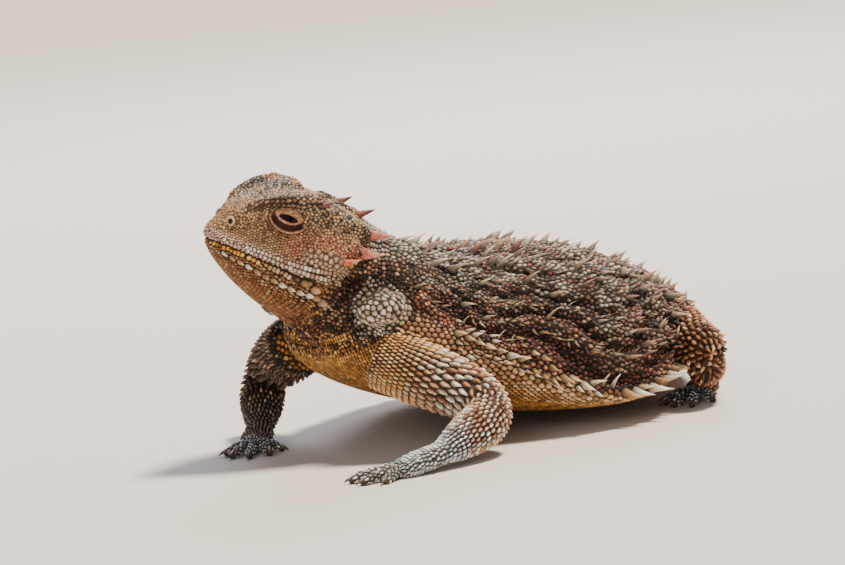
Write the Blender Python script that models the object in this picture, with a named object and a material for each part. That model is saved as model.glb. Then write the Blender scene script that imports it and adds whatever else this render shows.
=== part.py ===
"""Horned lizard, a life-size still model for a museum table.

The body is lofted through rings at named stations and parted at the neck, tail, elbows, knees,
wrists and ankles. Spines, fringe, scutes and claws are small cones and plates placed by loops on
those lofts and fused to them. Lengths are in millimetres until a mesh is made, when they turn
into metres. The lizard faces -Y, its left side is +X and its feet stand on z = 0.
"""

import math
import random

import bmesh
import bpy
import numpy as np
from mathutils.bvhtree import BVHTree

MM = 0.001
GAP = 0.3
SEED = 41

# Placing of the head: the tip of the snout, and how the head is turned from the trunk
SNOUT_TIP = (-5.1, -15.6, 31.1)
HEAD_YAW_TO_RIGHT = math.radians(15)
HEAD_PITCH_UP = math.radians(22)
HEAD_ROLL_LEFT_DOWN = math.radians(6)

# The rump and tail swing to the lizard's right, so the tail lies behind the body
BEND_START = 36.0
BEND_END = 64.0
BEND_ANGLE = math.radians(76)

# Trunk stations: back line (y, z), belly line (y, z), half width, height share of the widest line
TRUNK = (
    ((8.6, 26.7), (-5.0, 15.6), 11.0, 0.50),
    ((11.2, 25.8), (-3.8, 12.0), 13.0, 0.50),
    ((14.2, 25.0), (0.0, 9.0), 15.0, 0.46),
    ((17.6, 24.2), (5.6, 6.3), 17.6, 0.38),
    ((21.5, 23.9), (12.0, 3.9), 20.4, 0.33),
    ((25.6, 23.5), (18.8, 2.1), 23.2, 0.22),
    ((30.2, 22.9), (25.8, 1.4), 25.0, 0.15),
    ((35.2, 21.7), (32.6, 1.3), 24.4, 0.17),
    ((39.8, 19.6), (38.2, 1.5), 20.6, 0.26),
    ((44.0, 16.6), (43.2, 1.8), 15.4, 0.34),
    ((48.0, 13.6), (47.8, 2.3), 11.4, 0.40),
    ((52.0, 11.2), (52.0, 2.7), 8.8, 0.45),
)
TRUNK_ROUNDNESS = 0.86
RING_POINTS = 36

# Tail stations along the bent centre line: place, half width, top, underside
TAIL = (
    (52.0, 8.8, 11.2, 2.7),
    (56.5, 7.4, 9.8, 2.2),
    (62.5, 5.9, 8.2, 1.6),
    (70.0, 4.6, 6.5, 1.1),
    (78.0, 3.3, 4.9, 0.9),
    (86.0, 2.0, 3.4, 0.9),
    (91.0, 0.9, 2.2, 1.0),
)
TAIL_TIP = 92.6
TAIL_WIDEST = 0.45

# Head stations, in the head's own frame (left, behind the snout tip, up), snout to nape.
# Each row is one line of the head: crown, brow, eye level, cheek, upper lip, lower lip, jaw, throat
HEAD_RAILS = (
    (
        (0.0, 0.15, 0.9), (0.0, 1.0, 2.4), (0.0, 3.2, 4.7), (0.0, 7.0, 7.0),
        (0.0, 11.0, 7.9), (0.0, 15.4, 8.0), (0.0, 19.3, 7.4),
    ),
    (
        (0.6, 0.2, 0.7), (1.8, 1.2, 2.1), (3.9, 3.6, 4.4), (6.6, 7.2, 7.2),
        (7.7, 11.0, 8.1), (7.8, 15.2, 7.7), (6.9, 18.9, 6.8),
    ),
    (
        (0.9, 0.25, 0.3), (2.3, 1.2, 1.4), (4.1, 3.8, 3.0), (6.3, 7.6, 4.6),
        (8.1, 11.0, 5.2), (9.4, 14.8, 5.0), (9.0, 18.2, 4.6),
    ),
    (
        (1.1, 0.3, -0.2), (2.6, 1.3, 0.6), (4.8, 4.0, 1.2), (6.9, 7.7, 1.6),
        (8.3, 11.0, 1.8), (10.0, 14.6, 2.2), (9.4, 17.4, 1.6),
    ),
    (
        (1.1, 0.35, -0.7), (2.8, 1.3, -0.5), (5.0, 4.0, -0.7), (7.1, 7.7, -1.1),
        (8.5, 11.0, -1.5), (9.5, 14.2, -1.5), (9.0, 16.8, -1.2),
    ),
    (
        (0.9, 0.6, -1.3), (2.5, 1.5, -1.3), (4.7, 4.1, -1.5), (6.8, 7.7, -2.1),
        (8.1, 11.0, -2.6), (9.2, 13.8, -2.7), (8.6, 16.2, -3.0),
    ),
    (
        (0.7, 1.0, -1.8), (2.0, 2.0, -2.7), (3.9, 4.6, -3.9), (6.0, 8.2, -5.0),
        (7.3, 11.0, -5.6), (8.1, 13.2, -5.8), (7.4, 15.0, -6.0),
    ),
    (
        (0.0, 1.15, -2.0), (0.0, 2.5, -3.3), (0.0, 5.2, -5.2), (0.0, 8.8, -7.0),
        (0.0, 11.0, -7.8), (0.0, 12.6, -8.4), (0.0, 13.6, -8.7),
    ),
)
HEAD_RINGS_PER_SPAN = 3
HEAD_STEPS = (3, 3, 2, 2, 2, 3, 3)
LIP_RAIL = 4
MOUTH_DEPTH = 0.5
NECK_WAIST = 0.1

# Eyes, in the head's frame, for the left side
EYE_CENTRE = (5.2, 7.9, 4.9)
EYE_RADIUS = 2.45
LID_RADIUS = EYE_RADIUS + GAP + 0.65
LID_OPENING = (1.75, 0.85)
ORBIT_RING = (2.75, 2.15, 0.42)

# The ridge over each eye, in the head's frame, from the snout to the brow horn: place, radius
BROW_RIDGE = (
    ((3.3, 3.8, 4.6), 0.35),
    ((5.0, 5.4, 6.3), 0.55),
    ((6.5, 7.4, 7.2), 0.65),
    ((7.3, 9.2, 7.5), 0.7),
    ((7.4, 10.6, 7.4), 0.55),
)
BROW_SIDES = 6

# Horns, in the head's frame, for the left side: root, tip, half width, half thickness
HORNS = {
    "horn_brow": ((7.3, 10.4, 7.6), (7.6, 13.2, 9.5), 0.95, 0.8),
    "horn_occipital": ((4.0, 16.2, 7.2), (4.7, 20.2, 9.1), 1.15, 0.95),
    "horn_temporal_upper": ((8.7, 16.6, 5.9), (11.6, 21.0, 6.9), 1.15, 0.8),
    "horn_temporal_middle": ((9.1, 15.9, 3.6), (12.7, 20.0, 4.3), 1.4, 0.85),
    "horn_temporal_lower": ((9.3, 14.6, 1.5), (11.8, 17.6, 2.9), 0.95, 0.75),
}
HORN_SIDES = 8
HORN_RINGS = 4

# Forelegs: corners at the shoulder, elbow, wrist and knuckles, rounded at elbow and wrist
FORELEG_CORNERS = {
    "left": ((9.5, -0.5, 13.2), (22.4, 9.2, 5.6), (24.4, -2.6, 2.2), (23.0, -8.8, 1.0)),
    "right": ((-9.5, 0.0, 13.6), (-23.2, 3.0, 8.2), (-16.0, -3.2, 2.2), (-12.8, -6.4, 1.0)),
}
CORNER_ROUNDING = (6.0, 2.2)
UPPER_ARM_RADII = (4.3, 4.2, 3.5, 2.75)
FOREARM_RADII = (2.75, 2.85, 2.5, 1.9)

# Hind legs fold under the thigh: hip, knee, start of the shank under the knee, ankle
HIND_LEG_POINTS = {
    "left": ((7.5, 45.5, 10.0), (23.2, 41.0, 7.9), (22.8, 41.8, 5.6), (14.8, 47.6, 2.9)),
    "right": ((-8.5, 42.5, 9.8), (-25.0, 36.8, 7.6), (-24.6, 37.6, 5.4), (-17.6, 44.8, 2.9)),
}
THIGH_RADII = (4.4, 4.1, 3.5, 3.0)
SHANK_RADII = (2.4, 2.5, 2.2, 1.8)
# A limb piece is cut back from its parent, grown by the room it is given
PARENTS = (("forearm", "upper_arm", GAP - 0.06), ("shank", "thigh", GAP), ("foot", "shank", GAP))
FOOT_LENGTH = 5.2
HEEL_LENGTH = 1.6
FOOT_HEIGHT = 1.2
LIMB_SIDES = 10
LIMB_RINGS = 7

# Hands and feet: heading in the floor plane, spread and length of each digit from the inner one
DIGITS = {
    "hand_left": (-112, (-54, -26, -4, 18, 44), (3.6, 4.8, 5.6, 5.0, 3.4)),
    "hand_right": (-47, (60, 30, 4, -22, -50), (3.2, 4.4, 5.0, 4.4, 3.2)),
    "foot_left": (-62, (-50, -24, -4, 16, 44), (3.2, 4.6, 5.8, 6.2, 3.8)),
    "foot_right": (-142, (54, 28, 8, -12, -42), (3.2, 4.6, 5.8, 6.2, 3.8)),
}
PALM_RADIUS = 2.35
PALM_FLATNESS = 0.6
DIGIT_ROOT_HEIGHT = 1.0
DIGIT_RADIUS = 0.72
DIGIT_TIP_RADIUS = 0.5
DIGIT_ARCH = 0.55
DIGIT_SIDES = 5
DIGIT_RINGS = 3
CLAW_LENGTH = 1.9
CLAW_RADIUS = 0.42

# Spines: (rows, along) lattices of the trunk, their length and root radius
DORSAL_ROWS = (1.4, 3.5, 5.7, 7.9, 10.3)
SPINES_A_ROW = 12
DORSAL_SPINE = (2.3, 0.8)
FLANK_SPINE = (1.5, 0.6)
FRINGE_SPACING = 1.75
FRINGE_SPINE = (2.7, 0.78)
TAIL_SPINE = (1.7, 0.6)
LIMB_SPINE = (1.4, 0.66)
LIMB_SPINE_ROWS = 6
SPINE_ROOT = 0.7
SCUTE_ROOT = 0.45
SPINE_BACKWARD = 0.75
SHOULDER_BULGE = ((11.0, -0.6, 19.6), (3.4, 3.3, 2.5))

# Colours and finish of the flesh, horns, eyes and limbs: red, green, blue, roughness
FINISHES = {
    "head": (0.42, 0.28, 0.19, 0.7),
    "neck": (0.36, 0.26, 0.19, 0.75),
    "torso": (0.23, 0.14, 0.10, 0.8),
    "tail": (0.27, 0.18, 0.13, 0.8),
    "eye": (0.02, 0.015, 0.01, 0.15),
    "horn": (0.45, 0.20, 0.15, 0.55),
    "limb": (0.40, 0.30, 0.22, 0.7),
}


def smooth_table(rows, per_span):
    """Rows of numbers with per_span - 1 rows added in each span by a Catmull-Rom curve."""
    rows = np.asarray(rows, float)
    first = 2 * rows[0] - rows[1]
    last = 2 * rows[-1] - rows[-2]
    padded = np.concatenate([[first], rows, [last]])
    out = []
    for i in range(len(rows) - 1):
        a, b, c, d = padded[i : i + 4]
        for k in range(per_span):
            t = k / per_span
            square = (2 * a - 5 * b + 4 * c - d) * t**2
            cube = (3 * b - a - 3 * c + d) * t**3
            out.append(0.5 * (2 * b + (c - a) * t + square + cube))
    out.append(rows[-1])
    return np.array(out)


def bend(points):
    """Carries points (x, place along the body, z) round the bend of the rump and tail."""
    points = np.asarray(points, float)
    place = points[..., 1]
    steps = np.linspace(0.0, 110.0, 881)
    share = np.clip((steps - BEND_START) / (BEND_END - BEND_START), 0, 1)
    heading = BEND_ANGLE * share**2 * (3 - 2 * share)
    step = steps[1] - steps[0]
    line_x = np.concatenate([[0], np.cumsum(-np.sin(heading[:-1]) * step)])
    line_y = np.concatenate([[0], np.cumsum(np.cos(heading[:-1]) * step)])
    turn = np.interp(place, steps, heading)
    before = np.minimum(place, 0)
    out = np.empty_like(points)
    out[..., 0] = np.interp(place, steps, line_x) + points[..., 0] * np.cos(turn)
    out[..., 1] = np.interp(place, steps, line_y) + before + points[..., 0] * np.sin(turn)
    out[..., 2] = points[..., 2]
    return out


def unit(vector):
    return np.asarray(vector, float) / np.linalg.norm(vector)


def rotation_of_head():
    """The matrix that turns the head's frame (left, behind, up) into the world."""
    y, p, r = -HEAD_YAW_TO_RIGHT, HEAD_PITCH_UP, HEAD_ROLL_LEFT_DOWN
    yaw = np.array([[math.cos(y), -math.sin(y), 0], [math.sin(y), math.cos(y), 0], [0, 0, 1]])
    pitch = np.array([[1, 0, 0], [0, math.cos(p), math.sin(p)], [0, -math.sin(p), math.cos(p)]])
    roll = np.array([[math.cos(r), 0, math.sin(r)], [0, 1, 0], [-math.sin(r), 0, math.cos(r)]])
    return yaw @ pitch @ roll


HEAD_TURN = rotation_of_head()


def from_head(points):
    return np.asarray(points, float) @ HEAD_TURN.T + np.array(SNOUT_TIP)


def mirrored(point, side):
    return (point[0] * side, point[1], point[2])


class Loft:
    """A closed skin through rings of points: rings[i, j] is point j of ring i."""

    def __init__(self, rings, tip=None, start=None):
        self.rings = np.asarray(rings, float)
        self.tip = tip
        self.start = start
        volume = self.signed_volume()
        self.outward = 1 if volume > 0 else -1

    def solid(self):
        """Points and triangles, with each end closed by a fan round its centre."""
        count, around = self.rings.shape[:2]
        points = self.rings.reshape(-1, 3)
        start = self.rings[0].mean(0) if self.start is None else np.array(self.start)
        end = self.rings[-1].mean(0) if self.tip is None else np.array(self.tip)
        points = np.concatenate([points, [start, end]])
        i, j = np.meshgrid(np.arange(count - 1), np.arange(around), indexing="ij")
        a = (i * around + j).ravel()
        b = (i * around + (j + 1) % around).ravel()
        quads = np.stack([a, b, b + around, a + around], 1)
        faces = np.concatenate([quads[:, [0, 1, 2]], quads[:, [0, 2, 3]]])
        k = np.arange(around)
        last = (count - 1) * around
        first_fan = np.stack([np.full(around, len(points) - 2), (k + 1) % around, k], 1)
        last_fan = np.stack([np.full(around, len(points) - 1), last + k, last + (k + 1) % around], 1)
        return points, np.concatenate([faces, first_fan, last_fan])

    def signed_volume(self):
        points, faces = self.solid()
        return np.linalg.det(points[faces]).sum()

    def mesh(self):
        points, faces = self.solid()
        return points, faces if self.outward > 0 else faces[:, ::-1]

    def at(self, i, j):
        """Point, outward normal and direction towards the last ring, at ring i and point j."""
        count, around = self.rings.shape[:2]
        i = min(max(i, 0.0), count - 1.001)
        row, across = int(i), i - int(i)
        col, beside = int(j) % around, j - math.floor(j)
        nxt = (col + 1) % around
        p00, p01 = self.rings[row, col], self.rings[row, nxt]
        p10, p11 = self.rings[row + 1, col], self.rings[row + 1, nxt]
        point = (p00 * (1 - beside) + p01 * beside) * (1 - across) + (p10 * (1 - beside) + p11 * beside) * across
        along = unit((p10 + p11) - (p00 + p01))
        round_it = (p01 + p11) - (p00 + p10)
        normal = unit(np.cross(round_it, along)) * self.outward
        return point, normal, along

    def grown(self, amount):
        """The same skin moved outwards by amount, with its ends moved out too."""
        rings = self.rings.copy()
        count = len(rings)
        round_it = np.roll(rings, -1, 1) - np.roll(rings, 1, 1)
        along = np.gradient(rings, axis=0)
        normal = np.cross(round_it, along)
        normal /= np.linalg.norm(normal, axis=2, keepdims=True)
        rings += normal * amount * self.outward
        centres = self.rings.mean(1)
        rings[0] += unit(centres[0] - centres[1]) * amount
        rings[count - 1] += unit(centres[-1] - centres[-2]) * amount
        tip = None
        if self.tip is not None:
            tip = np.array(self.tip) + unit(np.array(self.tip) - centres[-1]) * amount
        return Loft(rings, tip)


def trunk_ring(top, bottom, half_width, widest, centre=0.0):
    """One ring from the back line down the left side to the belly line and up the right side."""
    turn = np.linspace(0, 2 * math.pi, RING_POINTS, endpoint=False)
    level = np.cos(turn)
    lift = np.sign(level) * np.abs(level) ** TRUNK_ROUNDNESS
    share = np.where(lift > 0, widest + lift * (1 - widest), widest + lift * widest)
    x = centre + half_width * np.sign(np.sin(turn)) * np.abs(np.sin(turn)) ** TRUNK_ROUNDNESS
    y = bottom[0] + share * (top[0] - bottom[0])
    z = bottom[1] + share * (top[1] - bottom[1])
    return np.stack([x, y, z], 1)


def make_trunk():
    rows = [(t[0], t[1], b[0], b[1], w, f) for t, b, w, f in TRUNK]
    table = smooth_table(rows, 2)
    rings = [trunk_ring((r[0], r[1]), (r[2], r[3]), r[4], r[5]) for r in table]
    return Loft(bend(rings))


def make_tail():
    table = smooth_table(TAIL, 2)
    table[0, 0] += GAP
    rings = [trunk_ring((r[0], r[2]), (r[0], r[3]), r[1], TAIL_WIDEST) for r in table]
    tip = bend(np.array([[0.0, TAIL_TIP, TAIL[-1][3] + 0.4]]))[0]
    return Loft(bend(np.array(rings)[:, ::2]), tip)


def head_rings():
    """Rings of the head in its own frame, with the line of the mouth pressed in."""
    rails = np.array(HEAD_RAILS)
    top, bottom = rails[0, -1], rails[-1, -1]
    slope = (top[1] - bottom[1]) / (top[2] - bottom[2])
    rails[:, -1, 1] = bottom[1] + (rails[:, -1, 2] - bottom[2]) * slope
    lines = [smooth_table(rail, HEAD_RINGS_PER_SPAN) for rail in rails]
    rings = []
    for k in range(len(lines[0])):
        half = [line[k] for line in lines]
        mirror_top = half[1] * (-1, 1, 1)
        mirror_low = half[-2] * (-1, 1, 1)
        curve = smooth_table([mirror_top] + half + [mirror_low], 12)[12:-12]
        side = []
        for span, steps in enumerate(HEAD_STEPS):
            for step in range(steps):
                side.append(curve[span * 12 + round(12 * step / steps)])
        mouth = sum(HEAD_STEPS[:LIP_RAIL]) + 1
        fade = min(1.0, max(0.0, (len(lines[0]) - 3 - k) / 3.0))
        inward = unit((-side[mouth][0], 2.0, 0.0)) * MOUTH_DEPTH * fade
        side[mouth] = side[mouth] + inward
        side.append(half[-1])
        other = [p * (-1, 1, 1) for p in side[-2:0:-1]]
        rings.append(np.array(side + other))
    return np.array(rings)


def make_head():
    return Loft(from_head(head_rings()))


def make_neck(head, trunk):
    """The collar between the flat back of the head and the flat front of the trunk."""
    front, back = head.rings[-1], trunk.rings[0]
    share = np.linspace(0, 1, RING_POINTS, endpoint=False)

    def even(ring):
        closed = np.concatenate([ring, ring[:1]])
        run = np.concatenate([[0], np.cumsum(np.linalg.norm(np.diff(closed, axis=0), axis=1))])
        return np.stack([np.interp(share, run / run[-1], closed[:, k]) for k in range(3)], 1)

    def plane_normal(ring, towards):
        normal = unit(np.cross(ring[0] - ring[len(ring) // 2], ring[len(ring) // 4] - ring[len(ring) * 3 // 4]))
        return normal * np.sign(normal @ towards)

    start, end = even(front), even(back)
    towards = end.mean(0) - start.mean(0)
    start = start + plane_normal(start, towards) * GAP
    end = end - plane_normal(end, towards) * GAP
    rings = []
    for share_back in np.linspace(0, 1, 6):
        ring = start * (1 - share_back) + end * share_back
        centre = ring.mean(0)
        waist = 1 - NECK_WAIST * math.sin(math.pi * share_back)
        ring = centre + (ring - centre) * (waist, 1, 1)
        rings.append(ring)
    return Loft(rings)


def limb_line(corners):
    """A dense line through the corners, rounded at the elbow or knee and at the wrist or ankle."""
    corners = np.array(corners)
    line = [corners[0]]
    joints = []
    for k, cut in zip(range(1, len(corners) - 1), CORNER_ROUNDING):
        before, corner, after = corners[k - 1], corners[k], corners[k + 1]
        into, out = unit(corner - before), unit(after - corner)
        start = corner - into * min(cut, 0.45 * np.linalg.norm(corner - before))
        end = corner + out * min(cut, 0.45 * np.linalg.norm(after - corner))
        for t in np.linspace(0, 1, 17):
            line.append(start * (1 - t) ** 2 + corner * 2 * t * (1 - t) + end * t**2)
            if abs(t - 0.5) < 1e-6:
                joints.append(len(line) - 1)
    line.append(corners[-1])
    line = np.array(line)
    run = np.concatenate([[0], np.cumsum(np.linalg.norm(np.diff(line, axis=0), axis=1))])
    return line, run, [run[j] for j in joints]


def tube(line, run, start, end, radii, sides, rings, flat=1.0, level=False):
    """A loft along the line from start to end, its radii read from an even table."""
    places = np.linspace(start, end, rings)
    centres = np.stack([np.interp(places, run, line[:, k]) for k in range(3)], 1)
    ahead = np.stack([np.interp(places + 0.4, run, line[:, k]) for k in range(3)], 1)
    behind = np.stack([np.interp(places - 0.4, run, line[:, k]) for k in range(3)], 1)
    tangents = (ahead - behind) / np.linalg.norm(ahead - behind, axis=1, keepdims=True)
    sizes = np.interp(np.linspace(0, 1, rings), np.linspace(0, 1, len(radii)), radii)
    side = unit(np.cross(tangents[0], (0, 0, 1)))
    turn = np.linspace(0, 2 * math.pi, sides, endpoint=False)
    out = []
    for centre, tangent, size in zip(centres, tangents, sizes):
        if level:
            side = unit(np.cross(tangent, (0, 0, 1)))
        side = unit(side - tangent * (side @ tangent))
        up = np.cross(side, tangent)
        out.append(centre + size * (np.outer(np.cos(turn), side) + flat * np.outer(np.sin(turn), up)))
    return out


def rounded(rings, at_start=False):
    """Rings with a half ball added at the end, and at the start too if asked, and their poles."""
    def ball(last, before):
        centre = last.mean(0)
        tangent = unit(centre - before.mean(0))
        size = np.linalg.norm(last - centre, axis=1).mean()
        caps = [centre + (last - centre) * math.cos(t) + tangent * size * math.sin(t) for t in (0.6, 1.1)]
        return caps, centre + tangent * size

    end_caps, end_pole = ball(rings[-1], rings[-2])
    if not at_start:
        return Loft(rings + end_caps, end_pole)
    start_caps, start_pole = ball(rings[0], rings[1])
    return Loft(start_caps[::-1] + rings + end_caps, end_pole, start_pole)


def cone(root, tip, wide, thin, sides, flat_axis=None):
    """A plain pyramid from a sunk root ring to a point, as points and triangles."""
    root, tip = np.asarray(root, float), np.asarray(tip, float)
    axis = unit(tip - root)
    hint = np.array((0.0, 0.0, 1.0)) if flat_axis is None else np.asarray(flat_axis)
    side = np.cross(axis, hint)
    if np.linalg.norm(side) < 1e-3:
        side = np.cross(axis, (0, 1, 0))
    side = unit(side)
    up = np.cross(side, axis)
    turn = np.linspace(0, 2 * math.pi, sides, endpoint=False)
    ring = root + wide * np.outer(np.cos(turn), side) + thin * np.outer(np.sin(turn), up)
    points = np.concatenate([ring, [tip]])
    walls = [(k, (k + 1) % sides, sides) for k in range(sides)]
    floor = [(0, k + 1, k) for k in range(1, sides - 1)]
    return outward(points, np.array(walls + floor))


def outward(points, faces):
    """The same closed surface with its faces turned outwards."""
    volume = np.linalg.det(points[faces] - points.mean(0)).sum()
    return points, faces if volume > 0 else faces[:, ::-1]


def horn(root, tip, wide, thin):
    """A stout horn that curves slightly upwards and keeps its thickness to near the tip."""
    root, tip = np.asarray(root, float), np.asarray(tip, float)
    start = root - (tip - root) * 0.35
    rings = []
    axis = unit(tip - root)
    side = unit(np.cross(axis, HEAD_TURN[:, 0]))
    up = np.cross(side, axis)
    turn = np.linspace(0, 2 * math.pi, HORN_SIDES, endpoint=False)
    for share in np.linspace(0, 0.9, HORN_RINGS):
        centre = start * (1 - share) + tip * share - HEAD_TURN[:, 2] * 0.35 * math.sin(math.pi * share)
        taper = (1 - share) ** 0.75 * 1.15
        ring = centre + taper * (wide * np.outer(np.cos(turn), side) + thin * np.outer(np.sin(turn), up))
        rings.append(ring)
    return Loft(rings, tip)


class Clearance:
    """Keeps spines off every core but their own and off the spines of other nodes."""

    def __init__(self, cores):
        self.trees = []
        for name, loft in cores.items():
            self.add(name, loft)
        self.taken = []

    def add(self, name, loft):
        points, faces = loft.mesh()
        self.trees.append((name, BVHTree.FromPolygons(points.tolist(), faces.tolist())))

    def free(self, node, base, tip, radius):
        samples = [(0.45, radius * 0.75), (0.7, radius * 0.5), (1.0, 0.1)]
        spots = [(np.asarray(base) * (1 - t) + np.asarray(tip) * t, r) for t, r in samples]
        for spot, size in spots:
            if spot[2] < size + 0.35:
                return False
            for name, tree in self.trees:
                if name == node:
                    continue
                near, normal, _, distance = tree.find_nearest(spot.tolist())
                inside = (spot - np.array(near)) @ np.array(normal) < 0
                if distance < GAP + size + 0.1 or (inside and distance < 6):
                    return False
            for owner, other, other_size in self.taken:
                if owner != node and np.linalg.norm(spot - other) < size + other_size + GAP + 0.15:
                    return False
        self.taken += [(node, spot, size) for spot, size in spots]
        return True


def spine(clear, node, point, normal, along, length, radius, lean=SPINE_BACKWARD, thin=1.0):
    """One spine leaning towards the tail or the foot, or None where it has no room."""
    direction = unit(normal + along * lean)
    tip = point + direction * length
    root = point - unit(normal + along * lean * 0.3) * SPINE_ROOT
    if not clear.free(node, point, tip, radius):
        return None
    return cone(root, tip, radius, radius * thin, 4, flat_axis=normal)


def scute(point, normal, along, radius, height, sides=5, peak=0.0):
    """A raised plate: a low pointed dome with its foot sunk below the skin."""
    side = unit(np.cross(normal, along))
    ahead = np.cross(side, normal)
    turn = np.linspace(0, 2 * math.pi, sides, endpoint=False) + 0.3
    ring = np.outer(np.cos(turn), side) + np.outer(np.sin(turn), ahead)
    low = point - normal * SCUTE_ROOT + ring * radius
    high = point + normal * height + ring * radius * 0.6 + ahead * peak
    points = np.concatenate([low, high])
    walls = []
    for k in range(sides):
        after = (k + 1) % sides
        walls += [(k, after, after + sides), (k, after + sides, k + sides)]
    floor = [(0, k + 1, k) for k in range(1, sides - 1)]
    roof = [(sides, sides + k, sides + k + 1) for k in range(1, sides - 1)]
    return outward(points, np.array(walls + floor + roof))


def ellipsoid(centre, radii, sides=12, rings=6):
    tilt = np.linspace(0, math.pi, rings + 2)[1:-1]
    turn = np.linspace(0, 2 * math.pi, sides, endpoint=False)
    out = []
    for t in tilt:
        ring = np.stack([np.cos(turn) * math.sin(t), np.sin(turn) * math.sin(t), np.full(sides, math.cos(t))], 1)
        out.append(np.asarray(centre) + ring * radii)
    poles = [np.asarray(centre) + np.array((0, 0, radii[2] * way)) for way in (1, -1)]
    return Loft(out, poles[1], poles[0])


def brow_ridge(side):
    """The raised ridge over one eye, a thin loft through the named places."""
    turn = np.linspace(0, 2 * math.pi, BROW_SIDES, endpoint=False)
    rings = []
    for place, radius in BROW_RIDGE:
        spokes = np.outer(np.cos(turn), HEAD_TURN[:, 0]) + np.outer(np.sin(turn), HEAD_TURN[:, 2])
        rings.append(from_head(mirrored(place, side)) + spokes * radius)
    return Loft(rings)


def ring_tube(centre, side, up, radii, thickness, sides=4, steps=12):
    """A closed ring of round section, as points and triangles."""
    points = []
    across = np.cross(side, up)
    for k in range(steps):
        t = 2 * math.pi * k / steps
        spoke = unit(math.cos(t) * side * radii[0] + math.sin(t) * up * radii[1])
        middle = centre + math.cos(t) * side * radii[0] + math.sin(t) * up * radii[1]
        for m in range(sides):
            a = 2 * math.pi * m / sides
            points.append(middle + thickness * (math.cos(a) * spoke + math.sin(a) * across))
    faces = []
    for k in range(steps):
        for m in range(sides):
            a, b = k * sides + m, k * sides + (m + 1) % sides
            c, d = (k + 1) % steps * sides + (m + 1) % sides, (k + 1) % steps * sides + m
            faces += [(a, b, c), (a, c, d)]
    return outward(np.array(points), np.array(faces))


def new_object(name, points, faces, collection):
    mesh = bpy.data.meshes.new(name)
    mesh.from_pydata((np.asarray(points) * MM).tolist(), [], np.asarray(faces).tolist())
    mesh.validate()
    obj = bpy.data.objects.new(name, mesh)
    collection.objects.link(obj)
    return obj


def as_object(name, piece, collection):
    points, faces = piece.mesh() if isinstance(piece, Loft) else piece
    return new_object(name, points, faces, collection)


def keep_largest(mesh):
    """Deletes all but the largest closed surface of the mesh."""
    bm = bmesh.new()
    bm.from_mesh(mesh)
    bmesh.ops.remove_doubles(bm, verts=bm.verts, dist=1e-7)
    bmesh.ops.dissolve_degenerate(bm, edges=bm.edges, dist=1e-7)
    bmesh.ops.triangulate(bm, faces=bm.faces)
    left = set(bm.faces)
    best, best_volume = set(), -1.0
    while left:
        start = left.pop()
        group, queue = {start}, [start]
        while queue:
            for edge in queue.pop().edges:
                for face in edge.link_faces:
                    if face in left:
                        left.discard(face)
                        group.add(face)
                        queue.append(face)
        volume = sum(f.verts[0].co.dot(f.verts[1].co.cross(f.verts[2].co)) for f in group)
        if volume > best_volume:
            best, best_volume = group, volume
    drop = [f for f in bm.faces if f not in best]
    bmesh.ops.delete(bm, geom=drop, context="FACES")
    loose = [v for v in bm.verts if not v.link_faces]
    bmesh.ops.delete(bm, geom=loose, context="VERTS")
    bm.to_mesh(mesh)
    bm.free()


def bake(obj):
    """Applies the object's modifiers and keeps its largest surface."""
    graph = bpy.context.evaluated_depsgraph_get()
    mesh = bpy.data.meshes.new_from_object(obj.evaluated_get(graph))
    obj.modifiers.clear()
    obj.data = mesh
    keep_largest(mesh)


def combine(obj, pieces, helpers, operation):
    """Joins pieces to the object, or cuts them from it, in one Boolean over a collection."""
    if not pieces:
        return
    group = bpy.data.collections.new(obj.name + "_pieces")
    helpers.children.link(group)
    for k, piece in enumerate(pieces):
        helper = as_object(f"{obj.name}_{operation.lower()}_{k}", piece, group)
        helper.display_type = "WIRE"
    modifier = obj.modifiers.new("combine", "BOOLEAN")
    modifier.operation = operation
    modifier.operand_type = "COLLECTION"
    modifier.collection = group
    modifier.solver = "MANIFOLD"
    bake(obj)
    for helper in list(group.objects):
        bpy.data.objects.remove(helper)
    bpy.data.collections.remove(group)


def dress(obj, finish):
    red, green, blue, roughness = FINISHES[finish]
    material = bpy.data.materials.new(obj.name)
    material.use_nodes = True
    shader = material.node_tree.nodes["Principled BSDF"]
    shader.inputs["Base Color"].default_value = (red, green, blue, 1)
    shader.inputs["Roughness"].default_value = roughness
    obj.data.materials.clear()
    obj.data.materials.append(material)
    obj.data.shade_smooth()
    obj.data.set_sharp_from_angle(angle=math.radians(40))


def trunk_spines(clear, trunk, rng):
    pieces = []
    rings = len(trunk.rings)
    for row, place in enumerate(DORSAL_ROWS):
        length, radius = DORSAL_SPINE if row < 4 else FLANK_SPINE
        for k in range(SPINES_A_ROW + 1):
            ring = 3.0 + (k + 0.5 * (row % 2)) * (rings - 4.5) / SPINES_A_ROW
            for side in (1, -1):
                spot = trunk.at(ring + rng.uniform(-0.2, 0.2), (place + rng.uniform(-0.3, 0.3)) * side)
                size = rng.uniform(0.8, 1.15)
                pieces.append(spine(clear, "torso", *spot, length * size, radius * size))
    return pieces


def fringe_spines(clear, trunk, rng):
    """A row of flat pointed scales along the widest line of each flank."""
    pieces = []
    edge = RING_POINTS / 4
    for side in (1, -1):
        run = 0.0
        ring = 5.0
        last = None
        while ring < len(trunk.rings) - 2:
            point, normal, along = trunk.at(ring, edge * side)
            if last is not None:
                run += np.linalg.norm(point - last)
            last = point
            if run >= FRINGE_SPACING:
                run = 0.0
                length, radius = FRINGE_SPINE
                size = rng.uniform(0.85, 1.15)
                pieces.append(
                    spine(clear, "torso", point, normal, along, length * size, radius, lean=0.9, thin=0.75)
                )
            ring += 0.05
    return pieces


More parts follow.
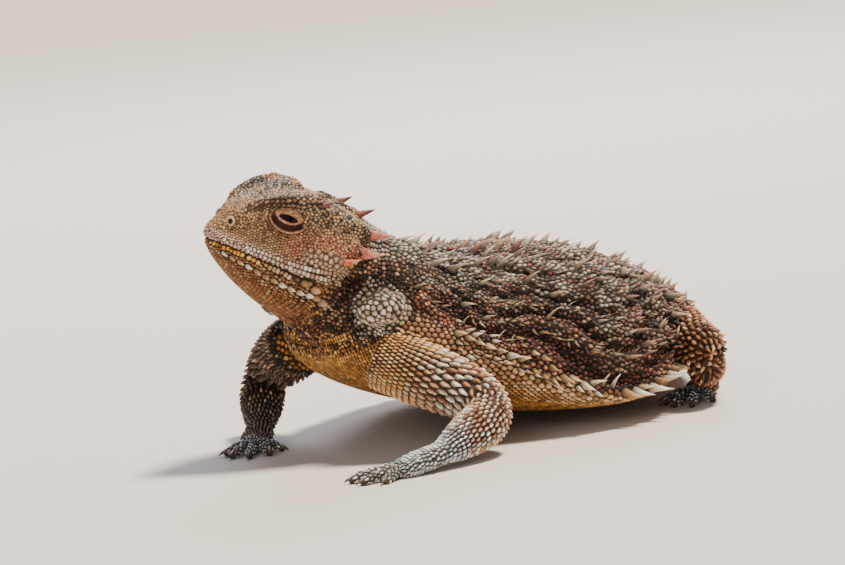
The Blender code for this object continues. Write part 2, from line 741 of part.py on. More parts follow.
def tail_spines(clear, tail, rng):
    pieces = []
    for place, step in ((RING_POINTS / 8, 1.6), (3.0 / 2, 2.2)):
        rings = np.arange(0.8, len(tail.rings) - 1.2, step / 2)
        for ring in rings:
            for side in (1, -1):
                spot = tail.at(ring, place * side)
                shrink = 1 - 0.06 * ring
                length, radius = TAIL_SPINE
                size = rng.uniform(0.85, 1.15) * shrink
                pieces.append(spine(clear, "tail", *spot, length * size, radius * max(size, 0.7)))
    return pieces


def limb_spines(clear, node, loft, rng, rows):
    """Keeled scales over the top and sides of a limb, pointing towards its foot."""
    pieces = []
    for row in range(rows):
        ring = 0.8 + row * (len(loft.rings) - 2.2) / (rows - 1)
        for k in range(LIMB_SIDES // 2):
            spot = loft.at(ring, 2 * k + (row % 2))
            if spot[1][2] < -0.35:
                continue
            length, radius = LIMB_SPINE
            size = rng.uniform(0.85, 1.15)
            pieces.append(spine(clear, node, *spot, length * size, radius * size, lean=1.2, thin=0.8))
    return pieces


def head_scutes(clear, head, rng):
    """Plates of the crown, cheeks, lips and lower jaw, where they have room."""
    starts = np.concatenate([[0], np.cumsum(HEAD_STEPS)])
    last = (len(HEAD_RAILS[0]) - 1) * HEAD_RINGS_PER_SPAN
    around = head.rings.shape[1]

    def column(rail, side):
        span = min(int(rail), len(HEAD_STEPS) - 1)
        j = starts[span] + (rail - span) * HEAD_STEPS[span]
        return j if side > 0 else around - j

    plates = []

    def plate(ring, rail, side, radius, height, sides=6, peak=0.0):
        point, normal, along = head.at(ring, column(rail, side))
        if clear.free("head", point, point + normal * height, radius):
            plates.append(scute(point, normal, along, radius, height, sides, peak))

    for row, rail in enumerate((0.0, 0.42, 0.84)):
        for k in range(4):
            ring = 4.6 + k * 3.0 + (row % 2) * 1.2
            for side in (1, -1) if rail > 0 else (1,):
                size = rng.uniform(0.85, 1.15) * (0.7 + 0.03 * ring)
                plate(ring + rng.uniform(-0.2, 0.2), rail, side, size, 0.3, 5)
    for side in (1, -1):
        for k in range(6):
            ring = 2.2 + k * 2.1
            plate(ring, 3.75, side, 0.5 + 0.03 * k, 0.25, 4)
            plate(ring + 0.6, 5.35, side, 0.5 + 0.04 * k, 0.35, 4, 0.2)
        for k in range(4):
            plate(6.4 + k * 2.4, 6.25, side, 0.55 + 0.06 * k, 0.55, 4, 0.5)
        for k in range(3):
            plate(11.4 + k * 1.7, 2.55, side, 0.8, 0.3, 5)
        plate(14.6, 5.0, side, 0.95, 0.6, 5, 0.5)
    return plates


def straight(start, end):
    """A line of two points and its run, as tube reads them."""
    line = np.array([start, end], float)
    return line, np.array([0.0, np.linalg.norm(line[1] - line[0])])


def make_foreleg(side):
    """Upper arm, forearm and palm on one rounded line, parted at the elbow and the wrist."""
    line, run, (elbow, wrist) = limb_line(FORELEG_CORNERS[side])
    half_gap = GAP / 2
    palm_radii = (1.9, 2.2, PALM_RADIUS, 2.1)
    return {
        f"upper_arm_{side}": Loft(
            tube(line, run, 0.0, elbow - half_gap, UPPER_ARM_RADII, LIMB_SIDES, LIMB_RINGS)
        ),
        f"forearm_{side}": Loft(
            tube(line, run, elbow + half_gap, wrist - half_gap, FOREARM_RADII, LIMB_SIDES, LIMB_RINGS)
        ),
        f"hand_{side}": Loft(
            tube(line, run, wrist + half_gap, run[-1], palm_radii, LIMB_SIDES, 5, PALM_FLATNESS, True)
        ),
    }, line[-1]


def make_hind_leg(side):
    """Thigh, shank and sole, each a round-ended tube that its parent is later cut from."""
    hip, knee, under_knee, ankle = HIND_LEG_POINTS[side]
    line, run = straight(hip, knee)
    thigh = rounded(tube(line, run, 0.0, run[-1], THIGH_RADII, LIMB_SIDES, LIMB_RINGS - 1))
    line, run = straight(under_knee, ankle)
    shank = rounded(tube(line, run, 0.0, run[-1], SHANK_RADII, LIMB_SIDES, LIMB_RINGS - 2), True)
    angle = math.radians(DIGITS[f"foot_{side}"][0])
    ahead = np.array((math.cos(angle), math.sin(angle), 0.0))
    heel = np.array((ankle[0], ankle[1], FOOT_HEIGHT)) - ahead * HEEL_LENGTH
    line, run = straight(heel, heel + ahead * FOOT_LENGTH)
    sole_radii = (1.5, 2.2, PALM_RADIUS, 2.1)
    sole = Loft(tube(line, run, 0.0, run[-1], sole_radii, LIMB_SIDES, 5, PALM_FLATNESS, True))
    return {f"thigh_{side}": thigh, f"shank_{side}": shank, f"foot_{side}": sole}, line[-1]


def make_digits(name, knuckles, rng):
    """Five arched digits and their claws, as pieces to join to the palm."""
    heading, spreads, lengths = DIGITS[name]
    middle_way = math.radians(heading)
    ahead = np.array((math.cos(middle_way), math.sin(middle_way), 0.0))
    pieces = []
    for spread, length in zip(spreads, lengths):
        angle = math.radians(heading + spread)
        out = np.array((math.cos(angle), math.sin(angle), 0.0))
        side = np.cross(out, (0, 0, 1))
        root = knuckles - ahead * 0.9 + out * 1.2
        root[2] = DIGIT_ROOT_HEIGHT
        tip = root + out * length * rng.uniform(0.95, 1.05)
        tip[2] = DIGIT_TIP_RADIUS - 0.08
        middle = (root + tip) / 2 + np.array((0, 0, DIGIT_ARCH))
        rings = []
        for share in np.linspace(0, 1, DIGIT_RINGS):
            centre = root * (1 - share) ** 2 + middle * 2 * share * (1 - share) + tip * share**2
            size = DIGIT_RADIUS + (DIGIT_TIP_RADIUS - DIGIT_RADIUS) * share
            turn = np.linspace(0, 2 * math.pi, DIGIT_SIDES, endpoint=False)
            rings.append(centre + size * (np.outer(np.cos(turn), side) + np.outer(np.sin(turn), (0, 0, 1))))
        pieces.append(Loft(rings, tip + out * 0.4))
        claw_root = tip - out * 0.35 + np.array((0, 0, 0.12))
        claw_tip = tip + out * CLAW_LENGTH * 0.8
        claw_tip[2] = 0.12
        pieces.append(cone(claw_root, claw_tip, CLAW_RADIUS, CLAW_RADIUS, 4))
    return pieces


def main():
    for old in list(bpy.data.objects):
        bpy.data.objects.remove(old)
    lizard = bpy.data.collections.new("horned_lizard")
    helpers = bpy.data.collections.new("cutters")
    for collection in (lizard, helpers):
        bpy.context.scene.collection.children.link(collection)
    helpers.hide_render = True
    rng = random.Random(SEED)

    head, trunk, tail = make_head(), make_trunk(), make_tail()
    neck = make_neck(head, trunk)
    cores = {"head": head, "torso": trunk, "tail": tail, "neck": neck}
    digits = {}
    for side in ("left", "right"):
        for end_name, maker in (("hand", make_foreleg), ("foot", make_hind_leg)):
            pieces, knuckles = maker(side)
            cores.update(pieces)
            digits[f"{end_name}_{side}"] = make_digits(f"{end_name}_{side}", knuckles, rng)
    horns = {}
    for name, (root, tip, wide, thin) in HORNS.items():
        for side_name, side in (("left", 1), ("right", -1)):
            horns[f"{name}_{side_name}"] = horn(
                from_head(mirrored(root, side)), from_head(mirrored(tip, side)), wide, thin
            )

    clear = Clearance({**cores, **horns})
    joined = {name: [] for name in cores}
    centre, radii = SHOULDER_BULGE
    bulges = [ellipsoid(mirrored(centre, side), radii) for side in (1, -1)]
    for bulge in bulges:
        clear.add("torso", bulge)
    spines = trunk_spines(clear, trunk, rng) + fringe_spines(clear, trunk, rng)
    joined["torso"] = [s for s in spines if s] + bulges
    joined["tail"] = [s for s in tail_spines(clear, tail, rng) if s]
    for node in cores:
        if node.startswith(("upper_arm", "forearm", "thigh", "shank")):
            joined[node] = [s for s in limb_spines(clear, node, cores[node], rng, LIMB_SPINE_ROWS) if s]
    joined.update(digits)

    eyes = {}
    eye_cuts = []
    joined["head"] = head_scutes(clear, head, rng)
    for side_name, side in (("left", 1), ("right", -1)):
        middle = from_head(mirrored(EYE_CENTRE, side))
        eyes[f"eye_{side_name}"] = ellipsoid(middle, (EYE_RADIUS,) * 3, 12, 7)
        lid = ellipsoid(middle, (LID_RADIUS,) * 3, 12, 7)
        socket = ellipsoid(middle, (EYE_RADIUS + GAP,) * 3, 12, 7)
        out = HEAD_TURN @ unit((side, -0.12, 0.06))
        ahead = unit(HEAD_TURN[:, 1] - out * (HEAD_TURN[:, 1] @ out))
        up = np.cross(ahead, out) * side
        ring_centre = middle + out * (LID_RADIUS - 1.05)
        orbit = ring_tube(ring_centre, ahead, up, ORBIT_RING[:2], ORBIT_RING[2])
        joined["head"] += [lid, orbit, brow_ridge(side)]
        turn = np.linspace(0, 2 * math.pi, 12, endpoint=False)
        almond = np.outer(np.cos(turn) * LID_OPENING[0], ahead) + np.outer(
            np.sin(turn) * LID_OPENING[1], up
        )
        opening = Loft([middle + out * 1.2 + almond, middle + out * 6 + almond])
        nostril = from_head(mirrored((2.75, 2.1, 2.5), side))
        eye_cuts += [socket, opening, ellipsoid(nostril, (0.5, 0.5, 0.45), 8, 5)]

    objects = {}
    floor = Loft([[(x, y, z) for x, y in ((-90, -60), (90, -60), (90, 120), (-90, 120))] for z in (-9.0, 0.0)])
    for name, core in cores.items():
        obj = as_object(name, core, lizard)
        cuts = []
        if name.startswith(("upper_arm", "forearm", "thigh", "shank")):
            cuts += [trunk.grown(GAP)] + [bulge.grown(GAP) for bulge in bulges]
        if name.startswith(("thigh", "shank", "foot")):
            cuts.append(tail.grown(GAP))
        combine(obj, joined[name], helpers, "UNION")
        if name == "head":
            cuts += eye_cuts
        if name == "torso":
            cuts += [neck.grown(GAP - 0.02), head.grown(GAP)]
        for child, parent, room in PARENTS:
            if name.startswith(child):
                cuts.append(cores[name.replace(child, parent)].grown(room))
        if name.startswith(("hand", "foot", "forearm", "shank")):
            cuts.append(floor)
        combine(obj, cuts, helpers, "DIFFERENCE")
        objects[name] = obj
    head_cut = head.grown(GAP)
    for name, loft in horns.items():
        objects[name] = as_object(name, loft, lizard)
        combine(objects[name], [head_cut], helpers, "DIFFERENCE")
    for name, ball in eyes.items():
        objects[name] = as_object(name, ball, lizard)

    corners = np.concatenate([np.array([v.co[:] for v in obj.data.vertices]) for obj in objects.values()])
    low, high = corners.min(0), corners.max(0)
    shift = (-(low[0] + high[0]) / 2, -(low[1] + high[1]) / 2, -low[2])
    for name, obj in objects.items():
        for vertex in obj.data.vertices:
            vertex.co = [c + s for c, s in zip(vertex.co, shift)]
        finish = next((key for key in ("eye", "horn") if name.startswith(key)), name)
        dress(obj, finish if finish in FINISHES else "limb")
    print("triangles", {n: len(o.data.polygons) for n, o in objects.items()})
    print("total", sum(len(o.data.polygons) for o in objects.values()))


main()
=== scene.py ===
"""Looks of a life-size horned lizard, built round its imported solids.

One skin covers the whole body. Thousands of scales, plates and spines are solid mesh on that skin,
each one shaped to the room between its neighbours. Eyes, lids, horns and claws are pieces of
their own. Lengths are millimetres in the design frame of the solids (snout towards -Y, the
lizard's left side +X, feet on z = 0) until a mesh is made, when they turn into metres.
"""

from __future__ import annotations

import logging
import math
import sys
from dataclasses import dataclass, field
from enum import IntEnum

import bpy
import numpy as np
from mathutils import Matrix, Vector
from mathutils.bvhtree import BVHTree
from mathutils.kdtree import KDTree

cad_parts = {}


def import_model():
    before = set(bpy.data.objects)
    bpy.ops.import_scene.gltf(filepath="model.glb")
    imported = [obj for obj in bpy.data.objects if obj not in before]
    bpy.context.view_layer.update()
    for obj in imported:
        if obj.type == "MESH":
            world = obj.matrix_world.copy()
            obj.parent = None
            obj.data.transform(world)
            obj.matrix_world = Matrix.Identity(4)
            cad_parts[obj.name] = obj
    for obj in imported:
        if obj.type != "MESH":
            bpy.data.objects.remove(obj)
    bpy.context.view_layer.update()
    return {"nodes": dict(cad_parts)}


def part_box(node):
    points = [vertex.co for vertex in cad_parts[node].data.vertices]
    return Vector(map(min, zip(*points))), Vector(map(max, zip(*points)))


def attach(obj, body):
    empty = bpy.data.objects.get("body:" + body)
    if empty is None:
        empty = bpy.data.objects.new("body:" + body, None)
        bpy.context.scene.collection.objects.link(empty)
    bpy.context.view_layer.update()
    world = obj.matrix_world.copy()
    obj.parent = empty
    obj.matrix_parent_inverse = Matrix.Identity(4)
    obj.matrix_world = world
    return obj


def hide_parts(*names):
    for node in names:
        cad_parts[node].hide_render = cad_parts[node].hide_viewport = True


LOG = logging.getLogger("horned_lizard")
MM = 0.001
SEED = 41
BAKE_PATCH = 0.003
# The left side of the body and the right
SIDES = (1, -1)
# Corners of a scale's outline
EDGES = 8

Row = tuple[float, ...]
Array = np.ndarray


class Part(IntEnum):
    """The lengths of the body that carry their own kind of scale."""

    HEAD = 0
    NECK = 1
    TRUNK = 2
    TAIL = 3
    FORELEG = 4
    HIND_LEG = 5
    DIGIT = 6


def linear(colour: str) -> Array:
    """Turns an sRGB hex colour into linear light.

    Args:
        colour: Six hex digits after a hash sign.

    Returns:
        Red, green and blue, each 0 to 1.
    """
    channels = np.array([int(colour[k : k + 2], 16) for k in (1, 3, 5)]) / 255
    return np.where(channels <= 0.04045, channels / 12.92, ((channels + 0.055) / 1.055) ** 2.4)


def unit(vectors: Array) -> Array:
    """Vectors scaled to length one, along the last axis."""
    vectors = np.asarray(vectors, float)
    return vectors / np.maximum(np.linalg.norm(vectors, axis=-1, keepdims=True), 1e-12)


def along_surface(directions: Array, normals: Array) -> Array:
    """Directions of length 1 along a surface, by its normals."""
    return unit(directions - normals * (directions * normals).sum(1, keepdims=True))


def ramp(low: float | Array, high: float | Array, value: float | Array) -> Array:
    """A smooth step: 0 below low, 1 above high, and an s-shaped cubic between."""
    share = np.clip((value - low) / (high - low), 0, 1)
    return share * share * (3 - 2 * share)


def turns(count: int) -> Array:
    """Even angles once round, starting at 0."""
    return np.linspace(0, 2 * math.pi, count, endpoint=False)


def blend(first: Array, second: Array, share: float | Array) -> Array:
    """The first with a share of the second mixed in."""
    return first * (1 - share) + second * share


def heading(angle: float) -> Array:
    """The level direction at an angle from +X."""
    return np.array((math.cos(angle), math.sin(angle), 0.0))


def run_of(line: Array) -> Array:
    """The length of a line of points, up to each of them."""
    return np.concatenate([[0], np.cumsum(np.linalg.norm(np.diff(line, axis=0), axis=1))])


def arc(start: Array, middle: Array, end: Array, count: int) -> Array:
    """A line bent towards a middle point: shares (1-t) squared, 2t(1-t) and t squared of the three."""
    t = np.linspace(0, 1, count)[:, None]
    return start * (1 - t) ** 2 + middle * 2 * t * (1 - t) + end * t**2


def bump(centre: float, width: float, value: Array) -> Array:
    """A bell of height one round the centre: e to the minus square of the distance over the width."""
    return np.exp(-(((value - centre) / width) ** 2))


def chance(count: int, salt: int) -> Array:
    """Even random numbers between 0 and 1, the same on each run."""
    return np.random.default_rng(SEED * 1000 + salt).random(count)


def value_noise(points: Array, size: float, salt: int) -> Array:
    """Smooth noise: random values on a cubic lattice, mixed by the smooth step of the place in a cell.

    Args:
        points: Places in millimetres, one a row.
        size: The lattice's spacing in millimetres.
        salt: A number that tells one noise from another.

    Returns:
        One value a point, 0 to 1.
    """
    place = points / size + 100.0
    cell = np.floor(place).astype(np.int64)
    inside = place - cell
    inside = inside * inside * (3 - 2 * inside)
    total = np.zeros(len(points))
    for corner in range(8):
        step = np.array([corner & 1, corner >> 1 & 1, corner >> 2 & 1])
        key = ((cell + step) * (73856093, 19349663, 83492791)).sum(1) + salt * 2654435761
        key = (key ^ (key >> 13)) * 1274126177 & 0xFFFFFFFF
        key = (key ^ (key >> 16)) & 0xFFFFFF
        total += key / 0xFFFFFF * np.prod(np.where(step, inside, 1 - inside), 1)
    return total


def smooth_table(rows: list | tuple | Array, per_span: int) -> Array:
    """Adds rows between the given ones on a Catmull-Rom curve.

    Args:
        rows: Rows of numbers.
        per_span: How many steps each span is cut into.

    Returns:
        The longer table.
    """
    rows = np.asarray(rows, float)
    padded = np.concatenate([[2 * rows[0] - rows[1]], rows, [2 * rows[-1] - rows[-2]]])
    a, b, c, d = (padded[k : k + len(rows) - 1][:, None] for k in range(4))
    t = (np.arange(per_span) / per_span).reshape(1, -1, *[1] * (rows.ndim - 1))
    square = (2 * a - 5 * b + 4 * c - d) * t**2
    cube = (3 * b - a - 3 * c + d) * t**3
    spans = 0.5 * (2 * b + (c - a) * t + square + cube)
    return np.concatenate([spans.reshape(-1, *rows.shape[1:]), rows[-1:]])


@dataclass(frozen=True)
class Pose:
    """How the lizard holds itself: the turn of its head and the bend of its rump and tail."""

    snout_tip: Row = (-5.1, -15.6, 31.1)
    yaw_right: float = 15.0
    pitch_up: float = 22.0
    roll_left_down: float = 6.0
    bend_start: float = 36.0
    bend_end: float = 64.0
    bend_angle: float = 76.0
    # Length of the centre line that is worked out, and its steps
    reach: float = 110.0
    reach_steps: int = 881

    def head_turn(self) -> Array:
        """Multiplies the yaw, pitch and roll of the head.

        Returns:
            The matrix from the head's frame (left, behind the snout, up) to the body's.
        """
        y, p, r = (math.radians(v) for v in (-self.yaw_right, self.pitch_up, self.roll_left_down))
        yaw = [[math.cos(y), -math.sin(y), 0], [math.sin(y), math.cos(y), 0], [0, 0, 1]]
        pitch = [[1, 0, 0], [0, math.cos(p), math.sin(p)], [0, -math.sin(p), math.cos(p)]]
        roll = [[math.cos(r), 0, math.sin(r)], [0, 1, 0], [-math.sin(r), 0, math.cos(r)]]
        return np.array(yaw) @ np.array(pitch) @ np.array(roll)

    def from_head(self, points: Row | Array) -> Array:
        """Points of the head's frame, in the body's frame."""
        return np.asarray(points, float) @ self.head_turn().T + self.snout_tip

    def to_head(self, points: Array) -> Array:
        """Points of the body's frame, in the head's frame."""
        return (points - self.snout_tip) @ self.head_turn()

    def bend(self, points: Array) -> Array:
        """Carries points round the bend of the rump.

        The heading grows from 0 to the bend angle by a smooth step of the place along the body,
        and the centre line is the running sum of that heading's sine and cosine.

        Args:
            points: Across, along the body and up.

        Returns:
            The points in the body's frame.
        """
        points = np.asarray(points, float)
        steps = np.linspace(0.0, self.reach, self.reach_steps)
        course = math.radians(self.bend_angle) * ramp(self.bend_start, self.bend_end, steps)
        step = steps[1] - steps[0]
        line_x = np.concatenate([[0], np.cumsum(-np.sin(course[:-1]) * step)])
        line_y = np.concatenate([[0], np.cumsum(np.cos(course[:-1]) * step)])
        across, place = points[..., 0], points[..., 1]
        turn = np.interp(place, steps, course)
        out = points.copy()
        out[..., 0] = np.interp(place, steps, line_x) + across * np.cos(turn)
        out[..., 1] = np.interp(place, steps, line_y) + np.minimum(place, 0) + across * np.sin(turn)
        return out


@dataclass
class Loft:
    """A skin through rings of points, with the place of each point along and round the part."""

    part: Part
    rings: Array
    side: int = 0
    tip: Array | None = None
    span: tuple[float, float] = (0.0, 1.0)

    def normals(self) -> Array:
        """Crosses the steps round and along the rings.

        Returns:
            Outward normals, one a ring point.
        """
        around = np.roll(self.rings, -1, 1) - np.roll(self.rings, 1, 1)
        normal = unit(np.cross(around, np.gradient(self.rings, axis=0)))
        spoke = self.rings - self.rings.mean(1, keepdims=True)
        return normal * np.sign((normal * spoke).sum())

    def along(self) -> Array:
        """Directions towards the last ring."""
        return unit(np.gradient(self.rings, axis=0))

    def shrunk(self, amount: float) -> Loft:
        """Moves the skin inwards, its tip too.

        Args:
            amount: How far.

        Returns:
            The smaller loft.
        """
        rings = self.rings - self.normals() * amount
        tip = None if self.tip is None else self.tip + unit(rings[-1].mean(0) - self.tip) * amount
        return Loft(self.part, rings, self.side, tip, self.span)

    def mesh(self) -> tuple[Array, Array]:
        """Closes the skin, each end with a fan round its centre.

        Returns:
            Points, and triangles that face outwards.
        """
        count, around = self.rings.shape[:2]
        end = self.rings[-1].mean(0) if self.tip is None else self.tip
        points = np.concatenate([self.rings.reshape(-1, 3), [self.rings[0].mean(0), end]])
        quads, k = grid_quads(count, around), np.arange(around)
        after, last = (k + 1) % around, (count - 1) * around
        first_fan = np.stack([np.full(around, len(points) - 2), after, k], 1)
        last_fan = np.stack([np.full(around, len(points) - 1), last + k, last + after], 1)
        faces = np.concatenate([quads[:, :3], quads[:, [0, 2, 3]], first_fan, last_fan])
        outwards = np.linalg.det(points[faces]).sum() > 0
        return points, faces if outwards else faces[:, ::-1]

    def at(self, along: Array, around: float | Array) -> tuple[Array, Array, Array]:
        """Reads the skin between its rings.

        Args:
            along: Ring numbers, whole or not.
            around: Point numbers, whole or not.

        Returns:
            Points, outward normals and directions along.
        """
        count, number = self.rings.shape[:2]
        along, around = np.broadcast_arrays(np.clip(along, 0, count - 1.001), around)
        i, j = np.floor(along).astype(int), np.floor(around).astype(int)
        s, t = (along - i)[:, None], (around - j)[:, None]
        j, k = j % number, (j + 1) % number

        def read(grid: Array) -> Array:
            """Mixes the four grid values round each place."""
            return blend(blend(grid[i, j], grid[i, k], t), blend(grid[i + 1, j], grid[i + 1, k], t), s)

        return read(self.rings), unit(read(self.normals())), unit(read(self.along()))


@dataclass
class BodyForm:
    """The body's main sizes, the same as the solids', as lofts with finer rings."""

    pose: Pose = field(default_factory=Pose)
    # Back line (y, z), belly line (y, z), half width and the widest line's share of the height
    trunk_table: tuple = (
        ((8.6, 26.7), (-5.0, 15.6), 11.0, 0.50),
        ((11.2, 25.8), (-3.8, 12.0), 13.0, 0.50),
        ((14.2, 25.0), (0.0, 9.0), 15.0, 0.46),
        ((17.6, 24.2), (5.6, 6.3), 17.6, 0.38),
        ((21.5, 23.9), (12.0, 3.9), 20.4, 0.33),
        ((25.6, 23.5), (18.8, 2.1), 23.2, 0.22),
        ((30.2, 22.9), (25.8, 1.4), 25.0, 0.15),
        ((35.2, 21.7), (32.6, 1.3), 24.4, 0.17),
        ((39.8, 19.6), (38.2, 1.5), 20.6, 0.26),
        ((44.0, 16.6), (43.2, 1.8), 15.4, 0.34),
        ((48.0, 13.6), (47.8, 2.3), 11.4, 0.40),
        ((52.0, 11.2), (52.0, 2.7), 8.8, 0.45),
    )
    trunk_roundness: float = 0.86
    ring_points: int = 96
    # Place along, half width, top and underside
    tail_table: tuple = (
        (51.0, 9.1, 11.6, 2.8),
        (56.5, 7.4, 9.8, 2.2),
        (62.5, 5.9, 8.2, 1.6),
        (70.0, 4.6, 6.5, 1.1),
        (78.0, 3.3, 4.9, 0.9),
        (86.0, 2.0, 3.4, 0.9),
        (91.0, 0.9, 2.2, 1.0),
    )
    tail_tip: float = 92.6
    # Crown, brow, eye level, cheek, upper lip, lower lip, jaw and throat, from snout to nape
    head_rails: tuple = (
        ((0, 0.15, 0.9), (0, 1, 2.4), (0, 3.2, 4.7), (0, 7, 7), (0, 11, 7.9), (0, 15.4, 8), (0, 19.3, 7.4)),
        ((0.6, 0.2, 0.7), (1.8, 1.2, 2.1), (3.9, 3.6, 4.4), (6.6, 7.2, 7.2), (7.7, 11, 8.1),
         (7.8, 15.2, 7.7), (6.9, 18.9, 6.8)),
        ((0.9, 0.25, 0.3), (2.3, 1.2, 1.4), (4.1, 3.8, 3), (6.3, 7.6, 4.6), (8.1, 11, 5.2),
         (9.4, 14.8, 5), (9, 18.2, 4.6)),
        ((1.1, 0.3, -0.2), (2.6, 1.3, 0.6), (4.8, 4, 1.2), (6.9, 7.7, 1.6), (8.3, 11, 1.8),
         (10, 14.6, 2.2), (9.4, 17.4, 1.6)),
        ((1.1, 0.35, -0.7), (2.8, 1.3, -0.5), (5, 4, -0.7), (7.1, 7.7, -1.1), (8.5, 11, -1.5),
         (9.5, 14.2, -1.5), (9, 16.8, -1.2)),
        ((0.9, 0.6, -1.3), (2.5, 1.5, -1.3), (4.7, 4.1, -1.5), (6.8, 7.7, -2.1), (8.1, 11, -2.6),
         (9.2, 13.8, -2.7), (8.6, 16.2, -3)),
        ((0.7, 1, -1.8), (2, 2, -2.7), (3.9, 4.6, -3.9), (6, 8.2, -5), (7.3, 11, -5.6),
         (8.1, 13.2, -5.8), (7.4, 15, -6)),
        ((0, 1.15, -2), (0, 2.5, -3.3), (0, 5.2, -5.2), (0, 8.8, -7), (0, 11, -7.8), (0, 12.6, -8.4),
         (0, 13.6, -8.7)),
    )
    head_rings_a_span: int = 8
    head_steps_a_rail: int = 8
    lip_rail: int = 4
    mouth_depth: float = 0.55
    neck_waist: float = 0.1
    eye_centre: Row = (5.2, 7.9, 4.9)
    eye_spot: Row = (5.2, 8.7, 4.95)
    gaze: Row = (0.925, -0.366, 0.1)
    orbit_radius: float = 1.9
    nostril: Row = (2.75, 2.1, 2.5)
    bulge_centre: Row = (11.0, -0.5, 19.5)
    bulge_radii: Row = (2.6, 3.4, 2.2)
    # Points along the ridge, and its radius there
    brow_ridge: tuple = (
        (3.5, 3.8, 4.5, 0.4), (5.2, 5.4, 6.15, 0.5), (6.75, 7.4, 7.1, 0.6), (7.65, 9.3, 7.6, 0.65),
        (8.0, 11.2, 8.0, 0.6),
    )
    # Root, tip, half width, half thickness, and the colours of root and tip
    horns: dict = field(default_factory=lambda: {
        "horn_brow": ((7.9, 10.7, 7.9), (9.0, 12.7, 8.9), 0.72, 0.55, "#84463a", "#451c18"),
        "horn_occipital": ((4.15, 17.0, 7.6), (4.7, 19.9, 8.9), 0.95, 0.75, "#7e4034", "#381613"),
        "horn_temporal_upper": ((9.3, 17.8, 6.2), (11.5, 20.7, 6.9), 0.95, 0.45, "#a8543e", "#c98c74"),
        "horn_temporal_middle": ((9.9, 17.0, 3.8), (12.6, 19.8, 4.3), 1.2, 0.5, "#ac5640", "#cf9a82"),
        "horn_temporal_lower": ((9.9, 15.4, 1.9), (11.7, 17.4, 2.9), 0.8, 0.45, "#b55a34", "#d0946c"),
    })
    horn_root: float = 0.45
    horn_sag: float = 0.35
    foreleg_corners: dict = field(default_factory=lambda: {
        1: ((9.5, -0.5, 13.2), (22.4, 9.2, 5.6), (24.4, -2.6, 2.2), (23.0, -8.8, 1.0)),
        -1: ((-9.5, 0.0, 13.6), (-23.2, 3.0, 8.2), (-16.0, -3.2, 2.2), (-12.8, -6.4, 1.0)),
    })
    corner_rounding: Row = (6.0, 2.2)
    upper_arm_radii: Row = (4.3, 4.2, 3.5, 2.75)
    forearm_radii: Row = (2.9, 2.8, 2.35, 1.9)
    palm_radii: Row = (2.2, 2.35, 2.1)
    palm_flatness: float = 0.6
    hind_leg_points: dict = field(default_factory=lambda: {
        1: ((7.5, 45.5, 10.0), (23.2, 41.0, 7.9), (22.8, 41.8, 5.6), (14.8, 47.6, 2.9)),
        -1: ((-8.5, 42.5, 9.8), (-25.0, 36.8, 7.6), (-24.6, 37.6, 5.4), (-17.6, 44.8, 2.9)),
    })
    thigh_radii: Row = (4.4, 4.1, 3.5, 3.0)
    shank_radii: Row = (2.4, 2.5, 2.2, 1.8)
    sole_radii: Row = (1.5, 2.2, 2.35, 2.1)
    foot_length: float = 5.2
    heel_length: float = 1.6
    foot_height: float = 1.2
    # Heading in the floor plane, spread and length of each digit from the inner one
    digits: dict = field(default_factory=lambda: {
        ("hand", 1): (-112, (-54, -26, -4, 18, 44), (3.6, 4.8, 5.6, 5.0, 3.4)),
        ("hand", -1): (-47, (60, 30, 4, -22, -50), (3.2, 4.4, 5.0, 4.4, 3.2)),
        ("foot", 1): (-62, (-50, -24, -4, 16, 44), (3.2, 4.6, 5.8, 6.2, 3.8)),
        ("foot", -1): (-142, (54, 28, 8, -12, -42), (3.2, 4.6, 5.8, 6.2, 3.8)),
    })
    digit_radii: Row = (0.66, 0.44)
    digit_arch: float = 0.55

    def oval(self, top: Array, bottom: Array, half: Array, widest: Array) -> Array:
        """Rings between back and belly lines.

        Round the ring the level is the cosine and the width the sine, each to a power that
        rounds it, and heights above and below the widest line are stretched on their own.

        Args:
            top: Back points (y, z).
            bottom: Belly points (y, z).
            half: Half widths.
            widest: Share of the height where each ring is widest.

        Returns:
            Rings of points.
        """
        lift, across = (
            np.sign(wave) * np.abs(wave) ** self.trunk_roundness
            for wave in (np.cos(turns(self.ring_points)), np.sin(turns(self.ring_points)))
        )
        widest = widest[:, None]
        share = np.where(lift > 0, widest + lift * (1 - widest), widest + lift * widest)
        line = bottom[:, None] + share[..., None] * (top - bottom)[:, None]
        return np.concatenate([(half[:, None] * across)[..., None], line], 2)

    def trunk(self) -> Loft:
        """The trunk from the neck to the root of the tail."""
        rows = smooth_table([(*t, *b, w, f) for t, b, w, f in self.trunk_table], 5)
        return Loft(Part.TRUNK, self.pose.bend(self.oval(rows[:, :2], rows[:, 2:4], rows[:, 4], rows[:, 5])))

    def tail(self) -> Loft:
        """Makes the tail, flat and wide at its root, drawn out to a point.

        Returns:
            The tail.
        """
        rows = smooth_table(self.tail_table, 6)
        rings = self.oval(rows[:, [0, 2]], rows[:, [0, 3]], rows[:, 1], np.full(len(rows), 0.45))
        tip = self.pose.bend(np.array([[0.0, self.tail_tip, self.tail_table[-1][3] + 0.4]]))[0]
        return Loft(Part.TAIL, self.pose.bend(rings), tip=tip)

